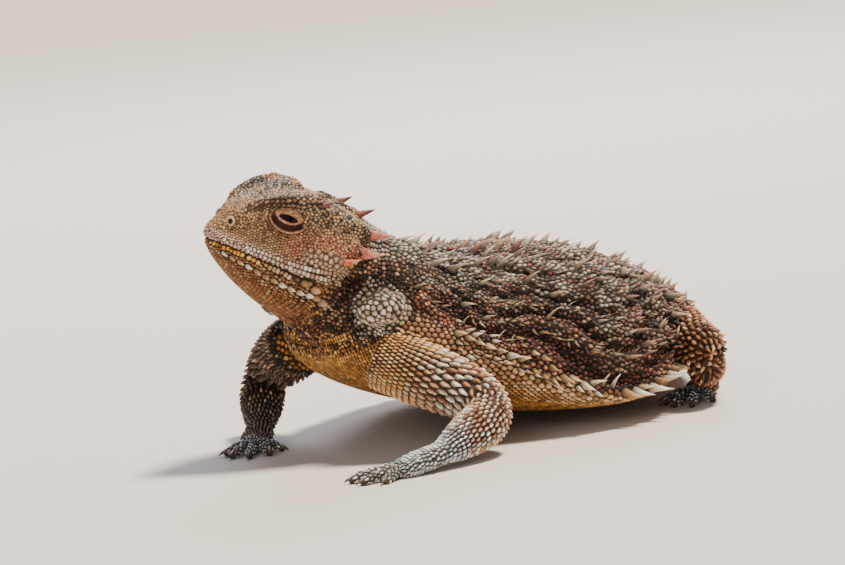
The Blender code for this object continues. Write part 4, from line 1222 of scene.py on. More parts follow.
        # The bridge of the snout, the crown, the ridges over the eyes, the nape and the snout's tip
        height += head * 0.6 * bump(3.6, 2.0, behind) * ramp(1.5, 3.5, up)
        height += head * 0.4 * ramp(5.5, 7.5, up) * ramp(5.0, 7.5, behind) * ramp(12.8, 11.8, behind)
        brows = ramp(5.5, 7.5, up) * ramp(1.5, 4.0, across) * ramp(7.5, 10.0, behind) * ramp(8.0, 6.6, across)
        height += head * 0.7 * brows * ramp(13.2, 12.0, behind)
        height += head * 0.35 * ramp(6.0, 7.5, up) * bump(14.5, 2.0, behind)
        height += head * (0.25 + 0.25 * ramp(-0.8, 0.6, up)) * bump(0, 1.2, behind)
        # The groove of the mouth
        lip = up - Markings.lip_height(behind)
        return height - 0.35 * head * bump(0, 0.2, lip) * ramp(15.0, 12.5, behind)


@dataclass
class Roots:
    """The scales of the body, as arrays with one entry a scale."""

    point: Array
    normal: Array
    rear: Array
    radius: Array
    height: Array
    lean: Array
    sharp: Array
    tile: Array
    shade: Array
    rank: Array

    @staticmethod
    def of(point: Array, normal: Array, rear: Array, **sizes: Array | float) -> Roots:
        """Scales at places, each size given for all of them or for each.

        Args:
            point: Places on the skin.
            normal: Outward normals.
            rear: Directions the scales point to.
            sizes: Radius, height, lean, sharpness, tile, shade and rank.

        Returns:
            The scales.
        """
        usual = dict.fromkeys(("radius", "height", "lean", "sharp", "tile", "shade", "rank"), 0.0)
        usual |= {"radius": 0.4, "height": 0.2}
        full = {
            name: np.broadcast_to(np.asarray(sizes.get(name, value), float), len(point)).copy()
            for name, value in usual.items()
        }
        return Roots(point, normal, along_surface(rear, normal), **full)

    @staticmethod
    def joined(groups: list[Roots]) -> Roots:
        """Several sets of scales in one."""
        return Roots(**{name: np.concatenate([getattr(g, name) for g in groups]) for name in vars(groups[0])})

    def pick(self, keep: Array) -> Roots:
        """Some of the scales."""
        return Roots(**{name: value[keep] for name, value in vars(self).items()})


@dataclass
class Coat:
    """Every scale, plate and spine of the skin."""

    skin: Skin
    # Where the lids stand out of the skin, so that no scale grows there
    lid_tree: KDTree
    packing: float = 0.9
    row_packing: float = 0.74
    gap: float = 0.95
    sunk: float = 0.12
    markings: Markings = field(default_factory=Markings)
    # Blades and spines of the flank: point number, first and last ring share, spacing and size.
    # The fringe is first, then shorter blades above and below its front part
    flank_rows: tuple = (
        (24.0, 0.2, 0.98, 1.5, 1.0), (22.9, 0.19, 0.4, 1.3, 0.62), (25.2, 0.21, 0.5, 1.3, 0.6),
        (21.8, 0.2, 0.34, 1.2, 0.5), (26.3, 0.22, 0.42, 1.2, 0.5), (20.5, 0.3, 0.95, 0.85, 0.42),
        (16.8, 0.25, 0.9, 0.95, 0.4),
    )
    # Point numbers of the rows of spines on the back and the tail
    back_rows: Row = (1.7, 4.4, 7.4, 10.6, 14.0, 17.4, 20.4)
    tail_rows: Row = (6.0, 14.0, 23.0)
    # Lip shields and chin shields: line, spacing, radius, height, lean, sharpness, shade and rings
    face_lines: tuple = (
        (3.86, 0.6, 0.27, 0.1, 0.0, 0.0, 3.0, 1.5, 44.0), (3.6, 0.54, 0.25, 0.1, 0.0, 0.0, 3.0, 3.0, 42.0),
        (4.48, 0.56, 0.33, 0.11, 0.0, 0.0, 4.0, 0.6, 40.0), (5.35, 1.25, 0.4, 0.26, 1.0, 0.6, 5.0, 8.0, 43.0),
    )
    # Plates of the jaw: ring, line, size and shade; plates of the brow ridge: point number and size
    jaw_plates: tuple = ((34.5, 4.8, 0.5, 6.0), (38.5, 5.05, 0.62, 6.0), (46.5, 5.4, 0.6, 7.0))
    brow_lines: tuple = ((-0.9, 0.24), (0.9, 0.28), (3.0, 0.28))
    # Distances between rows down the foreleg, and down thigh, shank and foot by where they start
    foreleg_pitch: Row = (0.62, 0.72, 1.05, 1.4, 1.3, 1.05, 0.95, 0.8, 0.66, 0.56, 0.5)
    hind_leg_pitch: dict = field(default_factory=lambda: {
        0.0: (0.9, 1.2, 1.25, 1.1), 0.4: (0.95, 0.9, 0.75), 0.75: (0.6, 0.5, 0.46),
    })
    # The three rings of a scale: how far they reach out, rise and slide to the rear
    dome: tuple = ((1.0, 0.93, 0.58), (0.0, 0.52, 0.93), (0.0, 0.3, 0.8))
    spine: tuple = ((1.0, 0.74, 0.4), (0.0, 0.2, 0.56), (0.0, 0.12, 0.42))
    # A shingle's free edge and shoulder, by direction from the rear round to the front: how far
    # they reach, and how high they stand
    shingle: tuple = (
        ((1.85, 0.7, 0.94, 0.82, 1.0), (1.08, 0.44, 0.5, 0.44, 0.6)),
        ((1.15, 0.5, 0.2, 0.08, 0.02), (1.2, 0.76, 0.42, 0.4, 0.5)),
    )
    # Painted light and shade of the three rings and the tip, darkest in the seams; granules have paler ones
    dome_light: Row = (0.1, 0.55, 1.0, 1.2)
    granule_light: Row = (0.3, 0.75, 1.0, 1.08)
    spine_light: Row = (0.1, 0.35, 0.8, 1.6)
    tile_light: tuple = ((0.06,) * 5, (1.6, 0.34, 0.16, 0.14, 0.14), (1.65, 0.9, 0.5, 0.4, 0.55))

    def sizes(self, where: Where) -> dict[str, Array]:
        """Sizes of the scales that would grow at places.

        Args:
            where: The places.

        Returns:
            Radius, height, lean, sharpness and tile.
        """
        y, z, fold, along = where.head[:, 1], where.head[:, 2], where.fold, where.along
        trunk, head, neck, foreleg = map(where.on, (Part.TRUNK, Part.HEAD, Part.NECK, Part.FORELEG))
        sided = np.abs(where.point) * (1, 0, 0) + where.point * (0, 1, 1)
        bulge = (trunk | neck) & (np.linalg.norm(sided - self.skin.form.bulge_centre, axis=1) < 3.7)
        out = np.zeros((5, len(fold)))
        for mask, *values in (
            (fold >= 0, 0.3, 0.2, 0.3, 0.0, 0.2),
            (where.part >= Part.TAIL, 0.42, 0.36, 0.0, 0.0, 1.0),
            (foreleg & (along < 0.3), 0.25, 0.2, 0.3, 0.2, 0.3),
            (foreleg & (along > 0.72), 0.27, 0.24, 0.0, 0.0, 1.0),
            (trunk & (fold < 0.5), 0.3, 0.24, 0.5, 0.35, 0.35),
            (trunk & (np.abs(fold - 0.4) < 0.15) & (along < 0.36), 0.23, 0.17, 0.3, 0.1, 0.3),
            (neck, 0.28, 0.2, 0.3, 0.2, 0.2),
            (neck & (fold < 0.3), 0.29, 0.36, 0.7, 0.6, 0.2),
            (neck & (fold > 0.4), 0.25, 0.15, 0.2, 0.0, 0.3),
            (bulge, 0.36, 0.12, 0.0, 0.0, 0.3),
            (bulge & (where.point[:, 2] < 18.6), 0.55, 0.16, 0.0, 0.0, 0.3),
            (head, 0.165, 0.07, 0.0, 0.0, 0.0),
            (head & (z > 5.2), 0.19, 0.1, 0.0, 0.0, 0.0),
            (head & (y > 11.5) & (z < 2.4), 0.3, 0.17, 0.0, 0.0, 0.0),
            (head & (y > 13.5) & (z < 1.0), 0.22, 0.14, 0.0, 0.0, 0.2),
        ):
            out[:, mask] = np.array(values)[:, None]
        out[0] *= 0.86 + 0.28 * value_noise(where.point, 1.1, 21)
        return dict(zip(("radius", "height", "lean", "sharp", "tile"), out))

    def bare(self, where: Where) -> Array:
        """Marks places that keep no ordinary scale: round the eyes, in the nostrils, along the mouth.

        Args:
            where: The places.

        Returns:
            True where a place is bare.
        """
        head = where.on(Part.HEAD)
        place = np.abs(where.head) * (1, 0, 0) + where.head * (0, 1, 1)
        nostril = np.linalg.norm(place - self.skin.form.nostril, axis=1)
        mouth = np.abs(place[:, 2] - Markings.lip_height(place[:, 1])) < 0.2
        out = head & ((nostril < 0.78) | (mouth & (place[:, 1] < 14.5)))
        near = np.nonzero(head)[0]
        out[near] |= np.array([self.lid_tree.find(p)[2] for p in where.point[near].tolist()]) < 0.16
        return out

    def row(self, loft: Loft, along: Array, around: float | Array, **sizes: Array | float) -> Roots:
        """Scales at chosen places of a loft, put down on the skin where the loft is its outside.

        Args:
            loft: The loft the places are on.
            along: Ring numbers.
            around: Point numbers round the rings.
            sizes: Sizes, as Roots.of takes them.

        Returns:
            The scales.
        """
        place, outward, rear = loft.at(along, around)
        point, normal, off = self.skin.nearest(place)
        keep = (off < 0.8) & ((normal * outward).sum(1) > 0.3)
        return Roots.of(point, normal, rear, **sizes).pick(keep)

    @staticmethod
    def even_rows(loft: Loft, around: float, start: float, end: float, step: float) -> Array:
        """Ring numbers spaced evenly by length along one line of a loft.

        Args:
            loft: The loft.
            around: The line's point number.
            start: The first ring number.
            end: The last.
            step: The spacing in millimetres.

        Returns:
            Ring numbers.
        """
        rings = np.linspace(start, end, 400)
        run = run_of(loft.at(rings, around)[0])
        return np.interp(np.arange(step / 2, run[-1], step), run, rings)

    def lattice(
        self,
        loft: Loft,
        pitch: Row,
        low: float = 0.0,
        high: float = 1.0,
        ratio: float = 0.9,
        fill: float = 0.52,
        **sizes: float,
    ) -> Roots:
        """Staggered rows of scales over a band of a loft.

        Rows cross the band where the running sum of length over pitch passes a whole number.
        Each row holds as many scales as fit its own length, and every second row is shifted by
        half a scale.

        Args:
            loft: The loft.
            pitch: Distance between rows, at even steps from the first ring to the last.
            low: Where the band starts, as a share of the way round.
            high: Where it ends.
            ratio: Width of a scale over the pitch.
            fill: Radius of a scale over its width.
            sizes: Height over pitch, lean, sharpness, tile and shade.

        Returns:
            The scales.
        """
        count, number = loft.rings.shape[:2]
        rings = np.linspace(0, count - 1, 500)
        line = loft.at(rings, (low + high) / 2 * number)[0]
        steps = np.interp(rings / (count - 1), np.linspace(0, 1, len(pitch)), pitch)
        length = np.concatenate([[0], np.linalg.norm(np.diff(line, axis=0), axis=1)])
        passed = np.cumsum(length / steps)
        rows = []
        for index, stop in enumerate(np.interp(np.arange(0.5, passed[-1]), passed, rings)):
            places = np.linspace(low, high, 120) * number
            run = run_of(loft.at(np.full(120, stop), places)[0])
            own = float(np.interp(stop, rings, steps))
            fit = max(3, round(run[-1] / (own * ratio)))
            share = (np.arange(fit) + 0.25 + 0.5 * (index % 2)) / fit
            rows.append((np.full(fit, stop), np.interp(share * run[-1], run, places), np.full(fit, own)))
        along, around, wide = (np.concatenate(column) for column in zip(*rows))
        height = wide * sizes.pop("height")
        return self.row(loft, along, around, radius=wide * fill * ratio, height=height, rank=2.0, **sizes)

    def spine_rows(self) -> list[Roots]:
        """Fringe blades along the flanks and rows of spines on the back and tail.

        Returns:
            The scales, row by row.
        """
        trunk, tail, groups = self.skin.trunk, self.skin.tail, []
        last = len(trunk.rings) - 1
        for side in SIDES:
            for number, (line, start, end, step, size) in enumerate(self.flank_rows):
                rings = self.even_rows(trunk, line * side, last * start, last * end, step)
                draw = chance(len(rings), 31 + side + 5 * number)
                size = size * (0.7 + 0.6 * draw) * (1 + 0.3 * bump(0.55, 0.16, rings / last))
                low = number > 2
                groups.append(self.row(
                    trunk, rings + 0.8 * (draw - 0.5), (line + 1.1 * (draw - 0.5)) * side, radius=0.52 * size,
                    height=(1.75 - 0.6 * low) * size, lean=(1.1 + 0.9 * low) * size, sharp=1.0,
                    shade=1.0 + (number > 4), rank=4.0,
                ))
            for number, line in enumerate(self.back_rows):
                step = 1.75 + 0.25 * (number % 3)
                rings = self.even_rows(trunk, line * side, 1 + 0.9 * (number % 2), last * 0.98, step)
                draw, ahead, aside = (
                    chance(len(rings), salt) for salt in (50 + number * 2 + side, 190 + number, 90 + number)
                )
                size = (0.42 + 0.75 * draw**2.2) * (1.1 - 0.03 * number)
                groups.append(self.row(
                    trunk, rings + 1.4 * (ahead - 0.5), (line + 2.4 * (aside - 0.5)) * side,
                    radius=0.62 * size, height=1.7 * size, lean=1.9 * size, sharp=1.0, shade=2.0,
                    rank=3.0 + draw,
                ))
            for number, line in enumerate(self.tail_rows):
                rings = self.even_rows(tail, line * side, 2, len(tail.rings) - 6, 2.0)
                draw = chance(len(rings), 150 + number * 2 + side)
                shrink = 1 - 0.6 * rings / len(tail.rings)
                groups.append(self.row(
                    tail, rings, line * side, radius=0.5 * shrink + 0.1, height=(0.7 + 0.5 * draw) * shrink,
                    lean=1.2 * shrink, sharp=0.9, shade=2.0, rank=3.0,
                ))
        return groups

    def face_rows(self) -> list[Roots]:
        """Lip shields, chin shields, the big plates of the jaw and those along the brow ridge.

        Returns:
            The scales, row by row.
        """
        head, groups = self.skin.head, []
        rings, around = head.rings.shape[:2]
        steps = self.skin.form.head_steps_a_rail
        for side in SIDES:
            for rail, step, radius, height, lean, sharp, shade, start, end in self.face_lines:
                line = rail * steps * side % around
                places = self.even_rows(head, line, start, min(end, rings - 3), step)
                grow = 0.75 + 0.5 * places / rings
                groups.append(self.row(
                    head, places, line, radius=radius * grow, height=height * grow, lean=lean, sharp=sharp,
                    shade=shade, rank=4.0,
                ))
            for ring, rail, size, shade in self.jaw_plates:
                groups.append(self.row(
                    head, np.array([ring]), rail * steps * side % around, radius=size, height=0.16, lean=0.9,
                    sharp=0.3, shade=shade, rank=5.0,
                ))
            brow = self.skin.brows[side]
            for line, size in self.brow_lines:
                line = (line if side > 0 else 8 - line) % 16
                places = self.even_rows(brow, line, 0.5, len(brow.rings) - 1.5, 2.7 * size)
                groups.append(self.row(
                    brow, places, line, radius=size, height=0.13, tile=0.6, shade=8.0, rank=4.0,
                ))
        return groups

    def tiled(self) -> list[Roots]:
        """The neat rows of the limbs, tail, belly and lower head.

        Returns:
            The scales, band by band.
        """
        skin, shingle = self.skin, {"ratio": 0.8, "tile": 1.0, "height": 0.5}
        groups = []
        for loft in skin.limbs:
            pitch = self.foreleg_pitch if loft.part == Part.FORELEG else self.hind_leg_pitch[loft.span[0]]
            groups.append(self.lattice(loft, pitch, **shingle))
        groups.append(self.lattice(skin.tail, (1.15, 1.1, 0.95, 0.8, 0.6), **shingle))
        # The belly's flat tiles, and the looser ones between them and the fringe
        pitch = (0.45, 0.6, 0.75, 0.8, 0.8)
        groups.append(self.lattice(skin.trunk, pitch, 0.31, 0.69, 0.95, tile=0.45, height=0.2))
        for low, high in ((0.262, 0.31), (0.69, 0.738)):
            groups.append(self.lattice(skin.trunk, (0.7, 0.85, 0.8), low, high, 0.95, tile=0.2, height=0.3))
        # From below the eyes down to the mouth, and from the mouth round the throat
        for low, high, pitch, fill, tile in (
            (2.45, 3.45, 0.42, 0.52, 0.25), (10.55, 11.55, 0.42, 0.52, 0.25), (5.0, 9.0, 0.5, 0.47, 0.6)
        ):
            rows = self.lattice(
                skin.head, (pitch * 0.8, pitch, pitch * 1.1), low / 14, high / 14, 0.85, fill, tile=tile,
                height=0.34,
            )
            spot = skin.form.pose.to_head(rows.point)
            groups.append(rows.pick((spot[:, 1] < 9.5 + 2.0 * chance(len(spot), 23)) | (spot[:, 2] < -1.0)))
        return groups

    def gather(self) -> Roots:
        """Fills the skin with scales and spreads them evenly.

        Rows with places of their own come first, then the rows of tiles, then points of the skin
        in random order; each is kept where no earlier one is too near. Then all but the first
        kind are pushed off their neighbours and put back on the skin, a few times over.

        Returns:
            All the scales.
        """
        skin = self.skin
        rows = Roots.joined([*self.spine_rows(), *self.face_rows(), *self.tiled()])
        spot = skin.map.look(rows.point, rows.normal)
        rows = rows.pick(np.where(rows.rank >= 3, ~spot.on(Part.NECK), ~self.bare(spot)))
        rows.rank += 0.01 * chance(len(rows.rank), 6)
        rows = rows.pick(self.spaced(rows.point, rows.radius * self.row_packing, rows.rank, 1.3))
        where = skin.map.look(*skin.sprinkle(3))
        where = where.pick(np.nonzero(~self.bare(where) & (where.point[:, 2] > 0.12))[0])
        rank = chance(len(where.side), 4)
        loose = Roots.of(where.point, where.normal, where.rear, **self.sizes(where), rank=rank)
        tree, room = search_tree(rows.point), (rows.radius * self.packing).tolist()
        mine = (loose.radius * self.packing).tolist()
        loose = loose.pick(np.nonzero([
            all(gap > room[k] + own for _, k, gap in tree.find_n(point, 4))
            for point, own in zip(loose.point.tolist(), mine)
        ])[0])
        loose = loose.pick(self.spaced(loose.point, loose.radius * self.packing, loose.rank, 0.75))
        roots = Roots.joined([rows, loose])
        for _ in range(5):
            self.push(roots)
        loose = roots.rank < 1.5
        size = self.sizes(skin.map.look(roots.point, roots.normal))
        for name in ("height", "lean", "sharp", "tile"):
            getattr(roots, name)[loose] = size[name][loose]
        roots.height[loose] *= 0.75 + 0.5 * chance(int(loose.sum()), 5)
        roots.lean[loose] *= roots.radius[loose]
        return roots

    def digit_roots(self) -> Roots:
        """Puts six scales round each of ten rings a digit, every second ring turned by half a step.

        Returns:
            The scales clear of the floor.
        """
        groups = []
        for loft in self.skin.digits:
            count, number = loft.rings.shape[:2]
            around = (np.tile(np.arange(6), 10) + 0.5 * np.repeat(np.arange(10) % 2, 6)) * number / 6
            along = np.repeat(np.linspace(1.5, count - 6.5, 10), 6)
            groups.append(Roots.of(*loft.at(along, around), radius=0.31, height=0.16, tile=0.8))
        roots = Roots.joined(groups)
        return roots.pick(roots.point[:, 2] > 0.12)

    @staticmethod
    def spaced(points: Array, radius: Array, rank: Array, reach: float) -> Array:
        """Thins points until no two are nearer than their radii together, the highest ranks first.

        Args:
            points: Places.
            radius: A radius for each.
            rank: The order in which they are kept.
            reach: The greatest sum of two radii.

        Returns:
            Indices of those that stay.
        """
        first, second = near_pairs(points, reach)
        clash = np.linalg.norm(points[first] - points[second], axis=1) < radius[first] + radius[second]
        first, second = first[clash], second[clash]
        state = np.zeros(len(points), int)
        for _ in range(60):
            live = (state[first] == 0) & (state[second] == 0)
            first, second = first[live], second[live]
            best = np.full(len(points), -1.0)
            np.maximum.at(best, first, rank[second])
            win = (state == 0) & (rank > best)
            state[win] = 1
            beaten = second[win[first]]
            state[beaten[state[beaten] == 0]] = -1
            if not (state == 0).any():
                break
        return np.nonzero(state == 1)[0]

    def push(self, roots: Roots) -> None:
        """Moves the scales without a place of their own off all others by their overlap.

        Args:
            roots: All the scales, changed in place.
        """
        first, second = near_pairs(roots.point, 1.5)
        mine = roots.rank[first] < 2.9
        first, second = first[mine], second[mine]
        apart = roots.point[first] - roots.point[second]
        distance = np.maximum(np.linalg.norm(apart, axis=1), 1e-6)
        want = (roots.radius[first] + roots.radius[second]) * 1.08
        push = np.clip(want - distance, 0, None) / distance * 0.28
        shift = np.zeros_like(roots.point)
        np.add.at(shift, first, apart * push[:, None])
        roots.point, roots.normal, _ = self.skin.nearest(roots.point + shift)
        roots.rear = along_surface(roots.rear, roots.normal)

    def outlines(self, roots: Roots) -> tuple[Array, Array]:
        """The room of each scale: in each direction, up to the line shared with a neighbour.

        A neighbour at distance d cuts a direction at the cosine c after d / c times this scale's
        share of the two radii. The least of these cuts, and of a cap, is the outline.

        Args:
            roots: All the scales.

        Returns:
            Radii in each direction, and the direction across.
        """
        across = unit(np.cross(roots.rear, roots.normal))
        first, second = near_pairs(roots.point, 2.0)
        apart = roots.point[second] - roots.point[first]
        u = (apart * roots.rear[first]).sum(1)
        v = (apart * across[first]).sum(1)
        level = u * u + v * v
        share = roots.radius[first] / (roots.radius[first] + roots.radius[second])
        reach = np.tile(roots.radius * 1.35, (EDGES, 1)).T
        for k, angle in enumerate(turns(EDGES)):
            towards = u * math.cos(angle) + v * math.sin(angle)
            ahead = towards > 0.05 * np.sqrt(level)
            np.minimum.at(reach[:, k], first[ahead], share[ahead] * level[ahead] / towards[ahead])
        return np.maximum(reach, 0.55 * roots.radius[:, None]), across

    def solids(self, roots: Roots, where: Where) -> dict[str, Array]:
        """Points, triangles, colours and bake places of all the scales.

        A scale is three rings and a tip. The first ring lies under the skin on the outline. The
        others shrink and rise as a dome's, a spine's by the sharpness, or a shingle's by the tile:
        a shingle's free edge stands up and reaches over the next scale behind it, and a keel runs
        down its middle. Domes and spines slide to the rear by the lean.

        Args:
            roots: The scales.
            where: Their places on the body.

        Returns:
            Arrays point (scale, point, 3), colour and uv, and the triangles of one scale.
        """
        reach, across = self.outlines(roots)
        turn, steps = turns(EDGES), np.arange(EDGES)
        fold = np.minimum(steps, EDGES - steps)
        sharp, tile = roots.sharp[:, None, None], roots.tile[:, None, None]
        dome, spine = (np.repeat(np.array(table)[..., None], EDGES, 2) for table in (self.dome, self.spine))
        shingle = np.zeros((3, 3, EDGES))
        shingle[0, 0] = 1.0
        shingle[:2, 1:] = np.array(self.shingle)[..., fold]
        share, rise, slide = (
            ((1 - sharp) * a + sharp * b) * (1 - tile) + tile * c for a, b, c in zip(dome, spine, shingle)
        )
        rise = rise * roots.height[:, None, None]
        rise[:, 0] = -self.sunk
        slide = slide * roots.lean[:, None, None]
        room = self.gap - 0.09 * roots.tile[:, None] * (roots.radius[:, None] > 0.24)
        spoke = np.cos(turn)[:, None] * roots.rear[:, None] + np.sin(turn)[:, None] * across[:, None]
        rings = []
        for k in range(3):
            ring = roots.point[:, None] + spoke * (reach * room * share[:, k])[..., None]
            ring = ring + roots.normal[:, None] * rise[:, k, :, None]
            rings.append(ring + roots.rear[:, None] * slide[:, k, :, None])
        back = roots.lean * (1 - roots.tile) + 0.25 * roots.radius * roots.tile
        tip = roots.point + roots.normal * (roots.height * (1 - 0.12 * roots.tile))[:, None]
        point = np.concatenate([*rings, (tip + roots.rear * back[:, None])[:, None]], 1)
        point[..., 2] = np.maximum(point[..., 2], 0.0)
        # Painted shade in each scale's seams and painted light on its top and tip
        domed, granular, pointed = (
            np.repeat(levels, (EDGES, EDGES, EDGES, 1))
            for levels in (self.dome_light, self.granule_light, self.spine_light)
        )
        tiled = np.concatenate([np.array(self.tile_light)[:, fold].ravel(), [1.3]])
        tile, sharp = roots.tile[:, None], roots.sharp[:, None]
        fade = blend(domed, granular, ramp(0.3, 0.2, roots.radius)[:, None])
        fade = blend(blend(fade, pointed, sharp), tiled, tile)
        colour = self.tints(roots, where)[:, None] * fade[..., None]
        circle = np.stack([np.cos(turn), np.sin(turn)], 1)
        patch = np.concatenate([circle, circle * 0.8, circle * 0.45, [[0, 0]]])
        uv = self.unwrap(where)[:, None] + patch[None] * BAKE_PATCH / 2
        quads = grid_quads(3, EDGES)
        cap = np.stack([steps + 2 * EDGES, (steps + 1) % EDGES + 2 * EDGES, 0 * steps + 3 * EDGES], 1)
        faces = np.concatenate([quads[:, :3], quads[:, [0, 2, 3]], cap])
        faces = facing(point[0], faces, point[0][faces].mean(1) - roots.point[0])
        return {"point": point, "colour": np.clip(colour, 0, 1), "uv": uv, "faces": faces}

    def tints(self, roots: Roots, where: Where) -> Array:
        """Each scale's colour: the body's markings, or the chosen rows' own palettes.

        Args:
            roots: The scales.
            where: Their places on the body.

        Returns:
            Linear colours.
        """
        marks, head = self.markings, where.on(Part.HEAD)
        draw, light = chance(len(head), 8), chance(len(head), 9)
        out = marks.colour(where, draw, np.where(head, 0.55, 1.0)[:, None])
        own = {
            1: "fringe", 3: "upper_lip", 4: "gold_lip", 5: "chin", 6: "under_fringe", 7: "bulge", 8: "brow",
        }
        for shade, name in own.items():
            rows = roots.shade == shade
            out[rows] = marks.mixed(name, draw[rows])
        spines = roots.shade == 2
        out[spines] = blend(out[spines], marks.mixed("spine", draw[spines]), 0.55)
        # The rear half of the gold row is tan
        tan = (roots.shade == 4) & (where.head[:, 1] > 7.5)
        out[tan] = marks.mixed("under_fringe", draw[tan]) * 0.8
        vary = 0.5 - 0.28 * head
        return np.clip(out * (1 + vary * (light - 0.55))[:, None], 0.002, 1)

    @staticmethod
    def unwrap(where: Where) -> Array:
        """The body's unwrap: each part's place along and round it, in a rectangle of its own.

        Args:
            where: The places.

        Returns:
            Two numbers a place, 0 to 1.
        """
        boxes = {
            Part.HEAD: (0.02, 0.02, 0.3, 0.3), Part.NECK: (0.36, 0.02, 0.2, 0.3),
            Part.TRUNK: (0.02, 0.36, 0.6, 0.6), Part.TAIL: (0.66, 0.36, 0.32, 0.28),
            Part.FORELEG: (0.66, 0.68, 0.14, 0.28), Part.HIND_LEG: (0.84, 0.68, 0.14, 0.28),
            Part.DIGIT: (0.6, 0.02, 0.1, 0.3),
        }
        box = np.array([boxes[part] for part in Part])[where.part]
        along = where.along * 0.48 + np.where(where.side < 0, 0.52, 0.0)
        along = np.where(where.side == 0, where.along, along)
        return box[:, :2] + box[:, 2:] * np.stack([along, where.around], 1)

    def build(self, place: Array) -> list[bpy.types.Object]:
        """Builds all the scales as one object for each region of the body, and one for the digits.

        Args:
            place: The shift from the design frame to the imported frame.

        Returns:
            The pieces, without material.
        """
        roots, form = self.gather(), self.skin.form
        where = self.skin.map.look(roots.point, roots.normal, 0.35)
        LOG.info("scales: %d", len(roots.point))
        middle = form.pose.bend(roots.point * (0, 1, 0))[:, 0]
        left, front, along = roots.point[:, 0] > middle, where.along <= 0.48, where.along
        head, trunk, upper = where.on(Part.HEAD), where.on(Part.TRUNK), where.head[:, 2] > 1.0
        belly, back = trunk & (where.fold > 0.53), trunk & (where.fold <= 0.53)
        regions = {
            "scales_head": head & upper,
            "scales_jaws": head & ~upper,
            "scales_neck": where.on(Part.NECK),
            "scales_belly_front": belly & (along < 0.6),
            "scales_belly_rear": belly & (along >= 0.6),
            "scales_shoulder_left": back & front & left,
            "scales_shoulder_right": back & front & ~left,
            "scales_loin_left": back & ~front & left,
            "scales_loin_right": back & ~front & ~left,
            "scales_tail": where.on(Part.TAIL),
            "scales_forelegs": where.on(Part.FORELEG),
            "scales_hind_legs": where.part >= Part.HIND_LEG,
        }
        made = self.solids(roots, where)
        pieces = [self.piece(name, place, made, np.nonzero(keep)[0]) for name, keep in regions.items()]
        roots = self.digit_roots()
        made = self.solids(roots, self.skin.map.look(roots.point, roots.normal))
        return [*pieces, self.piece("scales_digits", place, made, np.arange(len(roots.point)))]

    @staticmethod
    def piece(name: str, place: Array, made: dict[str, Array], keep: Array) -> bpy.types.Object:
        """Makes one object of some scales.

        Args:
            name: The piece's name.
            place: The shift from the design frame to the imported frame.
            made: All the scales, as solids gives them.
            keep: Indices of those that the piece holds.

        Returns:
            The object.
        """
        points, tint, uv = (made[key][keep] for key in ("point", "colour", "uv"))
        count, per_scale = points.shape[:2]
        faces = (made["faces"][None] + np.arange(count)[:, None, None] * per_scale).reshape(-1, 3)
        LOG.info("%s: %d scales, %d triangles", name, count, len(faces))
        return mesh_object(name, place, points.reshape(-1, 3), faces, tint.reshape(-1, 3), uv.reshape(-1, 2))


def add_node(
    tree: bpy.types.NodeTree, kind: str, settings: dict | None = None, **links: object
) -> bpy.types.Node:
    """Adds a node with its settings and links.

    Args:
        tree: The material's node tree.
        kind: Blender's name of the node's kind.
        settings: Properties, and sockets by their names.
        links: Input socket names, spaces as underscores, to the output socket that feeds each.

    Returns:
        The node.
    """
    node = tree.nodes.new(kind)
    for name, value in (settings or {}).items():
        if hasattr(node, name):
            setattr(node, name, value)
        else:
            node.inputs[name].default_value = value
    for name, socket in links.items():
        tree.links.new(socket, node.inputs[name.replace("_", " ")])
    return node


@dataclass(frozen=True)
class Finish:
    """A surface of keratin, skin or wet eye, its colour read from the mesh's own tint.

    Sizes of patterns are real millimetres.
    """

    name: str
    roughness: float = 0.6
    grain_mm: float = 0.12
    grain_depth: float = 0.35
    mottle_mm: float = 0.5
    mottle: float = 0.25
    sheen: float = 0.0
    coat: float = 0.0
    specular: float = 0.5

    def material(self) -> bpy.types.Material:
        """Builds the material.

        Returns:
            The material.
        """
        material = bpy.data.materials.new(self.name)
        material.use_nodes = True
        tree = material.node_tree
        shader = tree.nodes["Principled BSDF"]
        place = add_node(tree, "ShaderNodeTexCoord").outputs["Object"]
        tint = add_node(tree, "ShaderNodeAttribute", {"attribute_name": "tint"}).outputs["Color"]
        mottle = add_node(
            tree, "ShaderNodeTexNoise", {"Scale": 1 / (self.mottle_mm * MM), "Detail": 3.0}, Vector=place
        )
        level = add_node(
            tree, "ShaderNodeMapRange",
            {"From Min": 0.3, "From Max": 0.7, "To Min": 1 - self.mottle, "To Max": 1 + self.mottle},
            Value=mottle.outputs["Fac"],
        )
        scaled = add_node(tree, "ShaderNodeVectorMath", {"operation": "MULTIPLY"})
        tree.links.new(tint, scaled.inputs[0])
        tree.links.new(level.outputs["Result"], scaled.inputs[1])
        tree.links.new(scaled.outputs[0], shader.inputs["Base Color"])
        grain = add_node(
            tree, "ShaderNodeTexNoise", {"Scale": 1 / (self.grain_mm * MM), "Detail": 4.0}, Vector=place
        )
        rough = add_node(
            tree, "ShaderNodeMapRange",
            {
                "From Min": 0.3, "From Max": 0.7, "To Min": self.roughness - 0.1,
                "To Max": self.roughness + 0.12,
            },
            Value=grain.outputs["Fac"],
        )
        tree.links.new(rough.outputs["Result"], shader.inputs["Roughness"])
        height = add_node(
            tree, "ShaderNodeBump", {"Strength": self.grain_depth, "Distance": 0.00006},
            Height=grain.outputs["Fac"],
        )
        tree.links.new(height.outputs["Normal"], shader.inputs["Normal"])
        shader.inputs["Sheen Weight"].default_value = self.sheen
        shader.inputs["Coat Weight"].default_value = self.coat
        shader.inputs["Coat Roughness"].default_value = 0.05
        shader.inputs["Specular IOR Level"].default_value = self.specular
        return material


# Dry reptile keratin: dull, finely pitted, each scale mottled
SCALE_FINISH = Finish("scale_keratin", 0.58, 0.11, 0.4, 0.45, 0.28, specular=0.3)
